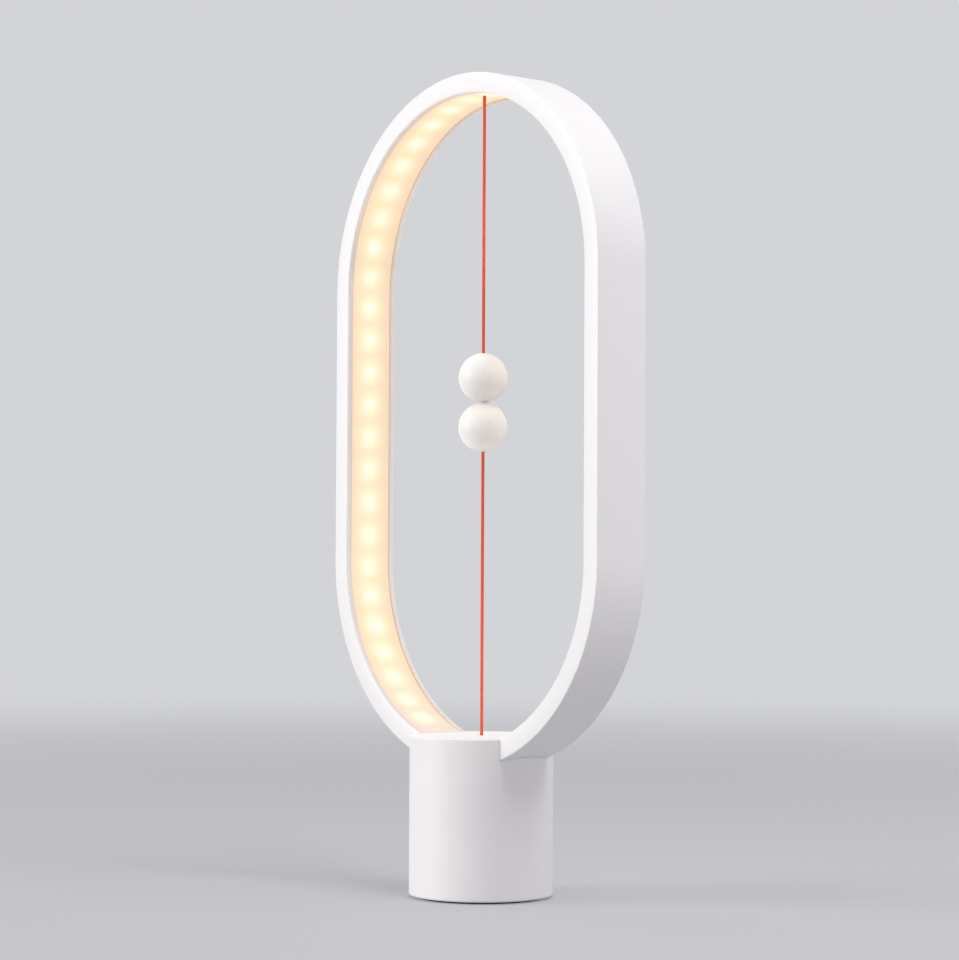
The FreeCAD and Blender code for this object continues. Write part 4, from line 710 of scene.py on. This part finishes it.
def cord_bush():
    """Smooth ring that the lower cord runs through."""
    top = bush_high.z
    profile = rounded([
        (CORD_HOLE_R, top, BUSH_MOUTH_ROUND),
        (BUSH_FLANGE_R, top, BUSH_RIM_ROUND),
        (BUSH_FLANGE_R, top - BUSH_FLANGE, 0),
        (BUSH_R - BUSH_FIT, top - BUSH_FLANGE, 0),
        (BUSH_R - BUSH_FIT, bush_low.z, 0),
        (CORD_HOLE_R, bush_low.z, 0),
    ])
    piece = turned("cord_bush_ring", profile, ABS, steps=96)
    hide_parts("cord_bush")
    return piece


def foam_pad():
    """Round foam foot, its lower edge slightly pressed."""
    profile = rounded([
        (pad_high.x, pad_low.z, PAD_FOOT_ROUND),
        (pad_high.x, pad_high.z, PAD_TOP_ROUND),
        (0, pad_high.z, 0),
        (0, pad_low.z, 0),
    ])
    piece = turned("foam_pad", profile, FOAM, steps=192)
    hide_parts("foot_pad")
    return piece


# ---- Balls ----
MOUTH_GAP = 0.1 * MM        # round the cord in its hole
MOUTH_R = CORD_R + MOUTH_GAP
MOUTH_SINK = 0.25 * MM      # countersink of that hole
MOUTH_DEPTH = 3.0 * MM
PLUG_GROOVE = 0.06 * MM     # the fine ring round the glued plug, wide and deep
PLUG_GROOVE_SHAPE = ((-2, 0), (-1, 0.4), (0, 1), (1, 0.4), (2, 0))     # steps across, share of the depth


def magnet_ball(name, centre_z, cord_side, nodes):
    """Turned ball with a countersunk cord hole and the fine ring of its glued plug."""
    seam = math.pi - math.asin(MAGNET_BORE_R / BALL_R)
    ring_half = PLUG_GROOVE / BALL_R
    last = math.pi - math.asin((MOUTH_R + MOUTH_SINK) / BALL_R)
    steps = 72
    arc = [(last * i / steps, BALL_R) for i in range(1, steps + 1)]
    arc = [(angle, reach) for angle, reach in arc if abs(angle - seam) > 3 * ring_half]
    arc += [(seam + shift * ring_half, BALL_R - depth * PLUG_GROOVE) for shift, depth in PLUG_GROOVE_SHAPE]
    profile = [(0, -BALL_R)]
    profile += [(reach * math.sin(angle), -reach * math.cos(angle)) for angle, reach in sorted(arc)]
    rim = profile[-1][1]
    profile += [(MOUTH_R, rim - MOUTH_SINK), (MOUTH_R, rim - MOUTH_DEPTH), (0, rim - MOUTH_DEPTH)]
    profile = [(radius, cord_side * height) for radius, height in profile]
    piece = turned(name, profile, LACQUER, centre=(0, 0, centre_z), steps=144, sharp_deg=30)
    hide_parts(*nodes)
    return piece


# ---- Cords ----
STRANDS = 5                 # each way round the cord
STRAND_PITCH = 1.0 * MM     # along the cord
STRAND_RISE = 0.055 * MM    # from the lowest to the highest point of the braid
STRAND_CROWN = 0.7          # power that flattens a strand's round back
STRAND_UNDER = 0.55         # height of a strand where it dives under the next, 0 to 1
BRAID_LEVEL = 0.75          # height of the braid, 0 to 1, that lies at the cord's radius
AROUND = 40                 # points round the cord
STEP_ALONG = 0.125 * MM     # between two rings of points
DOME_ANGLES = (0.25, 0.6, 1.0, 1.35)    # rings of the start's dome, in radians from its tip


def braid_height(turn, run):
    """Height of the braid's surface, 0 to 1, at a place round and along the cord."""
    one = STRANDS * turn + run / STRAND_PITCH
    other = STRANDS * turn - run / STRAND_PITCH
    over = (math.floor(one) + math.floor(other)) % 2 == 0
    crown = one % 1.0 if over else other % 1.0
    length = other % 1.0 if over else one % 1.0
    back = math.sin(math.pi * crown) ** STRAND_CROWN
    return back * (STRAND_UNDER + (1 - STRAND_UNDER) * math.sin(math.pi * length))


def smooth_route(points):
    """Points of the smooth line that a route's control points give."""
    curve = bpy.data.curves.new("route", "CURVE")
    curve.dimensions = "3D"
    curve.resolution_u = 24
    spline = curve.splines.new("NURBS")
    spline.points.add(len(points) - 1)
    for target, point in zip(spline.points, points):
        target.co = (*point, 1.0)
    spline.order_u = 3
    spline.use_endpoint_u = True
    guide = bpy.data.objects.new("route", curve)
    bpy.context.scene.collection.objects.link(guide)
    graph = bpy.context.evaluated_depsgraph_get()
    mesh = bpy.data.meshes.new_from_object(guide.evaluated_get(graph))
    line = [vertex.co.copy() for vertex in mesh.vertices]
    bpy.data.objects.remove(guide)
    bpy.data.meshes.remove(mesh)
    return line


def braided_tube(name, points):
    """A braided cord along an upright route, its surface shaped by the strands and its start domed."""
    line = smooth_route(points)
    start, end = line[0], line[-1]
    length = (end - start).length
    rise = (end - start).normalized()
    bm = bmesh.new()
    crown = bm.verts.layers.float.new("crown")
    rings = []
    stops = [(-CORD_R * math.cos(angle), math.sin(angle)) for angle in DOME_ANGLES] + [(0.0, 1.0)]
    count = int(length / STEP_ALONG)
    stops += [(length * i / count, 1.0) for i in range(1, count + 1)]
    for run, share in stops:
        centre = start + rise * run
        ring = []
        for i in range(AROUND):
            turn = i / AROUND
            height = braid_height(turn, run)
            radius = share * (CORD_R + STRAND_RISE * (height - BRAID_LEVEL))
            angle = 2 * math.pi * turn
            vertex = bm.verts.new(centre + Vector((radius * math.cos(angle), radius * math.sin(angle), 0)))
            vertex[crown] = height
            ring.append(vertex)
        rings.append(ring)
    skin(bm, rings)
    return new_piece(name, bm, BRAID, sharp_deg=60), line


# Control points of the routes, in metres: each starts in a hole and runs straight up or down from it.
UPPER_ROUTE = [(0, 0, 0.3899), (0, 0, 0.3248), (0, 0, 0.2597)]
LOWER_ROUTE = [(0, 0, 0.0788), (0, 0, 0.1497), (0, 0, 0.2206)]
UPPER_TAIL_ROUTE = [(0, 0, 0.3899), (0, 0, 0.3925), (0, 0, 0.3951)]
LOWER_TAIL_ROUTE = [(0, 0, 0.0788), (0, 0, 0.0735), (0, 0, 0.0682)]


# ---- Building and placing ----
for piece, slot in ((casing_front(), "white_abs"), (casing_rear(), "white_abs"),
                    (light_diffuser(), "frosted"), (base_cup(), "white_abs"), (base_bridge(), "white_abs"),
                    (cord_bush(), "white_abs"), (foam_pad(), "pad_black")):
    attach(piece, "lamp")

upper = magnet_ball("magnet_ball_upper", UPPER_BALL_Z, 1, ("upper_ball", "upper_ball_plug"))
lower = magnet_ball("magnet_ball_lower", LOWER_BALL_Z, -1, ("lower_ball", "lower_ball_plug"))
for piece, body in ((upper, "upper_ball"), (lower, "lower_ball")):
    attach(piece, body)

upper_cord, upper_line = braided_tube("cord_upper", UPPER_ROUTE)
lower_cord, lower_line = braided_tube("cord_lower", LOWER_ROUTE)
upper_tail, _ = braided_tube("cord_upper_tail", UPPER_TAIL_ROUTE)
lower_tail, _ = braided_tube("cord_lower_tail", LOWER_TAIL_ROUTE)
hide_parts("upper_cord")
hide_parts("lower_cord")
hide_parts("upper_cord_tail")
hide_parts("lower_cord_tail")
for piece, body in ((upper_cord, "upper_ball"), (lower_cord, "lower_cord"), (upper_tail, "lamp"),
                    (lower_tail, "plunger")):
    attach(piece, body)
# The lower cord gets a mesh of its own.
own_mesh(lower_cord)

# ---- Finishes of the pieces that the CAD model carries ----
FINISHES = {
    ABS: ("upper_cord_anchor", "loop_end_plugs", "bottom_plate"),
    BRAID: ("upper_cord_knot", "upper_cord_bend", "lower_cord_bend", "upper_ball_knot", "lower_ball_knot",
            "cord_nipple"),
    # Glass-filled nylon, moulded: a little greyer and duller than the casing.
    moulded_plastic("nylon_glass_filled", "DAD9D4", "E4E3DF", 0.55): (
        "loop_cradle", "plunger_guide", "plunger_retainer"),
    # PBT, moulded black or red: an even sheen with sharp edges.
    moulded_plastic("pbt_moulded_black", "121213", "1C1C1E", 0.38): (
        "switch_body", "pull_plunger", "driver_chip"),
    moulded_plastic("pbt_moulded_red", "8E1A12", "A42318", 0.35): ("switch_button",),
    # PVC insulation, extruded: soft grey with a waxy sheen.
    moulded_plastic("pvc_extruded_grey", "4B4B4F", "5A5A5F", 0.45, ior=1.53): ("led_wires", "switch_wires"),
    # Polyolefin sleeve shrunk over a wound ferrite core: dull black, slightly rippled.
    moulded_plastic("ferrite_sleeved", "1B1B1D", "2B2A2B", 0.6, grain_size=0.35): ("power_inductor",),
    # Zinc-plated steel: cool grey, cloudy from the bath.
    worked_metal("steel_zinc_plated", "A9ABB0", "C4C6CB", 0.34, grain_size=1.2): (
        "loop_screws", "cradle_screws", "bridge_screws", "bracket_screw", "guide_screws", "ballast_screws",
        "board_screws", "plate_screws", "switch_screws", "switch_bracket"),
    # Stainless sheet, rolled: marks run along the strip.
    worked_metal("stainless_rolled", "B9BABD", "D2D3D6", 0.28, stretch=(1, 0.1, 1)): (
        "switch_lever", "usb_inlet"),
    # Spring steel wire, drawn: bright, with fine lines along the wire.
    worked_metal("spring_steel_drawn", "A6A6AA", "C9C9CE", 0.22, stretch=(1, 1, 0.2)): ("return_spring",),
    # Magnet, nickel plated: bright and slightly warm.
    worked_metal("nickel_plated", "C9C4BC", "DED9D2", 0.14, grain_size=2.0): (
        "upper_magnet", "lower_magnet"),
    # Aluminium can, drawn: faint upright lines.
    worked_metal("aluminium_drawn", "BFC1C4", "D8DADC", 0.26, stretch=(1, 1, 0.1)): ("capacitors",),
    # Brass blades, stamped and thinly tinned: pale gold.
    worked_metal("brass_tinned", "B79A5A", "D3BD83", 0.30): ("switch_terminals",),
    iron_cast_blacked(): ("ballast_weight",),
    # Boards under green and white solder mask: glossy, with the tracks showing through.
    board_solder_mask("board_solder_mask_green", "0E4D27", "1C6B3A", 1.8): ("control_board",),
    board_solder_mask("strip_solder_mask_white", "E6E6E2", "F2F2EE", 3.0): ("led_strip",),
    phosphor_lit(): ("led_chips",),
}
for material, names in FINISHES.items():
    for name in names:
        for holder in NODES[name].material_slots:
            holder.material = material

# ---- Floor, backdrop, lamps and camera ----
SCENE = bpy.context.scene
PALE = "D3D4D7"
FLOOR_R = 12.0
FLOOR_LIFT = 0.34           # share of the backdrop's brightness that the near floor gives by itself
FADE_START = 0.5            # where the floor starts to turn into the backdrop, from the lamp
FADE_END = 2.2
ROOM_LIGHT = 0.435          # what the room throws on the lamp, as a share of white
LENS = 101.65               # focal length in millimetres, on a sensor this wide
SENSOR = 36
MIDDLE = (0, 0, 0.2)        # of the lamp; the soft boxes are turned to it


def seen_rays(tree):
    """1 where a surface is seen, straight on, in a gloss or through glass, and 0 where it throws light."""
    path = add(tree, "ShaderNodeLightPath").outputs
    seen = path["Is Camera Ray"]
    for kind in ("Is Glossy Ray", "Is Transmission Ray"):
        seen = add(tree, "ShaderNodeMath", {0: seen, 1: path[kind]}, operation="MAXIMUM").outputs[0]
    return seen


def studio_floor():
    """Wide pale floor that fades into the backdrop's colour well behind the lamp."""
    material = bpy.data.materials.new("floor_pale_matt")
    material.use_nodes = True
    tree = material.node_tree
    tree.nodes.clear()
    place = add(tree, "ShaderNodeTexCoord").outputs["Object"]
    reach = add(tree, "ShaderNodeVectorMath", {0: place}, operation="LENGTH").outputs["Value"]
    far = add(tree, "ShaderNodeMapRange", {"Value": reach, "From Min": FADE_START, "From Max": FADE_END},
              interpolation_type="SMOOTHSTEP").outputs[0]
    seen = seen_rays(tree)
    share = add(tree, "ShaderNodeMath", {0: far, 1: seen}, operation="MULTIPLY").outputs[0]
    low_bounce = add(tree, "ShaderNodeBsdfDiffuse", {"Color": linear("B4B5B8")}).outputs[0]
    paint = add(tree, "ShaderNodeBsdfDiffuse", {"Color": linear("9B9CA0")}).outputs[0]
    lift = add(tree, "ShaderNodeEmission", {"Color": linear(PALE), "Strength": FLOOR_LIFT}).outputs[0]
    pale = add(tree, "ShaderNodeAddShader", {0: paint, 1: lift}).outputs[0]
    ground = add(tree, "ShaderNodeMixShader", {0: seen, 1: low_bounce, 2: pale}).outputs[0]
    horizon = add(tree, "ShaderNodeEmission", {"Color": linear(PALE), "Strength": 1.0}).outputs[0]
    mixed = add(tree, "ShaderNodeMixShader", {0: share, 1: ground, 2: horizon}).outputs[0]
    add(tree, "ShaderNodeOutputMaterial", {"Surface": mixed})
    bm = bmesh.new()
    bmesh.ops.create_circle(bm, cap_ends=True, radius=FLOOR_R, segments=96)
    floor = new_piece("studio_floor", bm, material)


def studio_world():
    """Pale backdrop to the eye, dim light to the lamp."""
    world = bpy.data.worlds.new("studio_world")
    SCENE.world = world
    world.use_nodes = True
    tree = world.node_tree
    tree.nodes.clear()
    backdrop = add(tree, "ShaderNodeBackground", {"Color": linear(PALE), "Strength": 1.0}).outputs[0]
    dim = add(tree, "ShaderNodeBackground", {"Color": linear("FDF6FF"), "Strength": ROOM_LIGHT}).outputs[0]
    mixed = add(tree, "ShaderNodeMixShader", {0: seen_rays(tree), 1: dim, 2: backdrop}).outputs[0]
    add(tree, "ShaderNodeOutputWorld", {"Surface": mixed})


def softbox(name, place, target, wide, tall, power, tint):
    """Soft rectangular lamp turned to a point."""
    lamp = bpy.data.lights.new(name, "AREA")
    lamp.shape = "RECTANGLE"
    lamp.size = wide
    lamp.size_y = tall
    lamp.energy = power
    lamp.color = linear(tint)[:3]
    holder = bpy.data.objects.new(name, lamp)
    holder.location = place
    holder.rotation_mode = "QUATERNION"
    holder.rotation_quaternion = (Vector(target) - Vector(place)).to_track_quat("-Z", "Y")
    holder.visible_camera = False
    SCENE.collection.objects.link(holder)
    return holder


def loop_glow(name, place, target, wide, tall, power, tint):
    """The light that the loop's own strip throws inward, over what its shown brightness gives."""
    holder = softbox(name, place, target, wide, tall, power, tint)
    holder.visible_glossy = False


def studio_camera():
    """Camera a little above the base, turned to the lamp from its front right."""
    lens = bpy.data.cameras.new("camera")
    lens.lens = LENS
    lens.sensor_width = SENSOR
    # The camera's own axes and its place in metres.
    right = (0.63855301, 0.76956332, 0.00472757)
    up = (0.02302719, -0.02524664, 0.99941601)
    back = (0.76923325, -0.63807124, -0.03384219)
    place = (1.01682, -0.84552, 0.15751)
    rows = [(right[i], up[i], back[i], place[i]) for i in range(3)]
    holder = bpy.data.objects.new("camera", lens)
    holder.matrix_world = Matrix(rows + [(0, 0, 0, 1)])
    SCENE.collection.objects.link(holder)
    SCENE.camera = holder


studio_floor()
studio_world()
# Name, place, target, width and height in metres, watts and tint.
softbox("key_front_left", (-1.45, -2.35, 0.90), MIDDLE, 1.4, 1.4, 54.5, "FFFDF9")
softbox("top_right", (0.8, 0.08, 1.5), MIDDLE, 0.9, 0.9, 13.5, "FFFEFB")
softbox("low_right", (1.35, 0.1, 0.3), MIDDLE, 0.5, 0.9, 1.5, "FFFFFF")
softbox("rim_rear", (0.3, 1.6, 0.7), MIDDLE, 0.9, 0.9, 2.5, "FFFFFF")
# The loop's light on each side: from its upper bend, its straight part, its lower bend, and upward.
for side in (-1, 1):
    loop_glow("glow_high", (side * 0.0574, 0, 0.3557), (0, 0, 0.300), 0.022, 0.05, 0.0125, "FFFBF4")
    loop_glow("glow_middle", (side * 0.089, 0, 0.2315), (0, 0, 0.2315), 0.022, 0.15, 0.0095, "FFE69E")
    loop_glow("glow_low", (side * 0.0574, 0, 0.1073), (0, 0, 0.163), 0.022, 0.05, 0.023, "F6FAFF")
    loop_glow("glow_upward", (side * 0.045, 0, 0.305), (side * 0.02, 0, 0.39), 0.040, 0.022, 0.013,
              "FFE8CC")
studio_camera()
SCENE.view_settings.view_transform = "Standard"
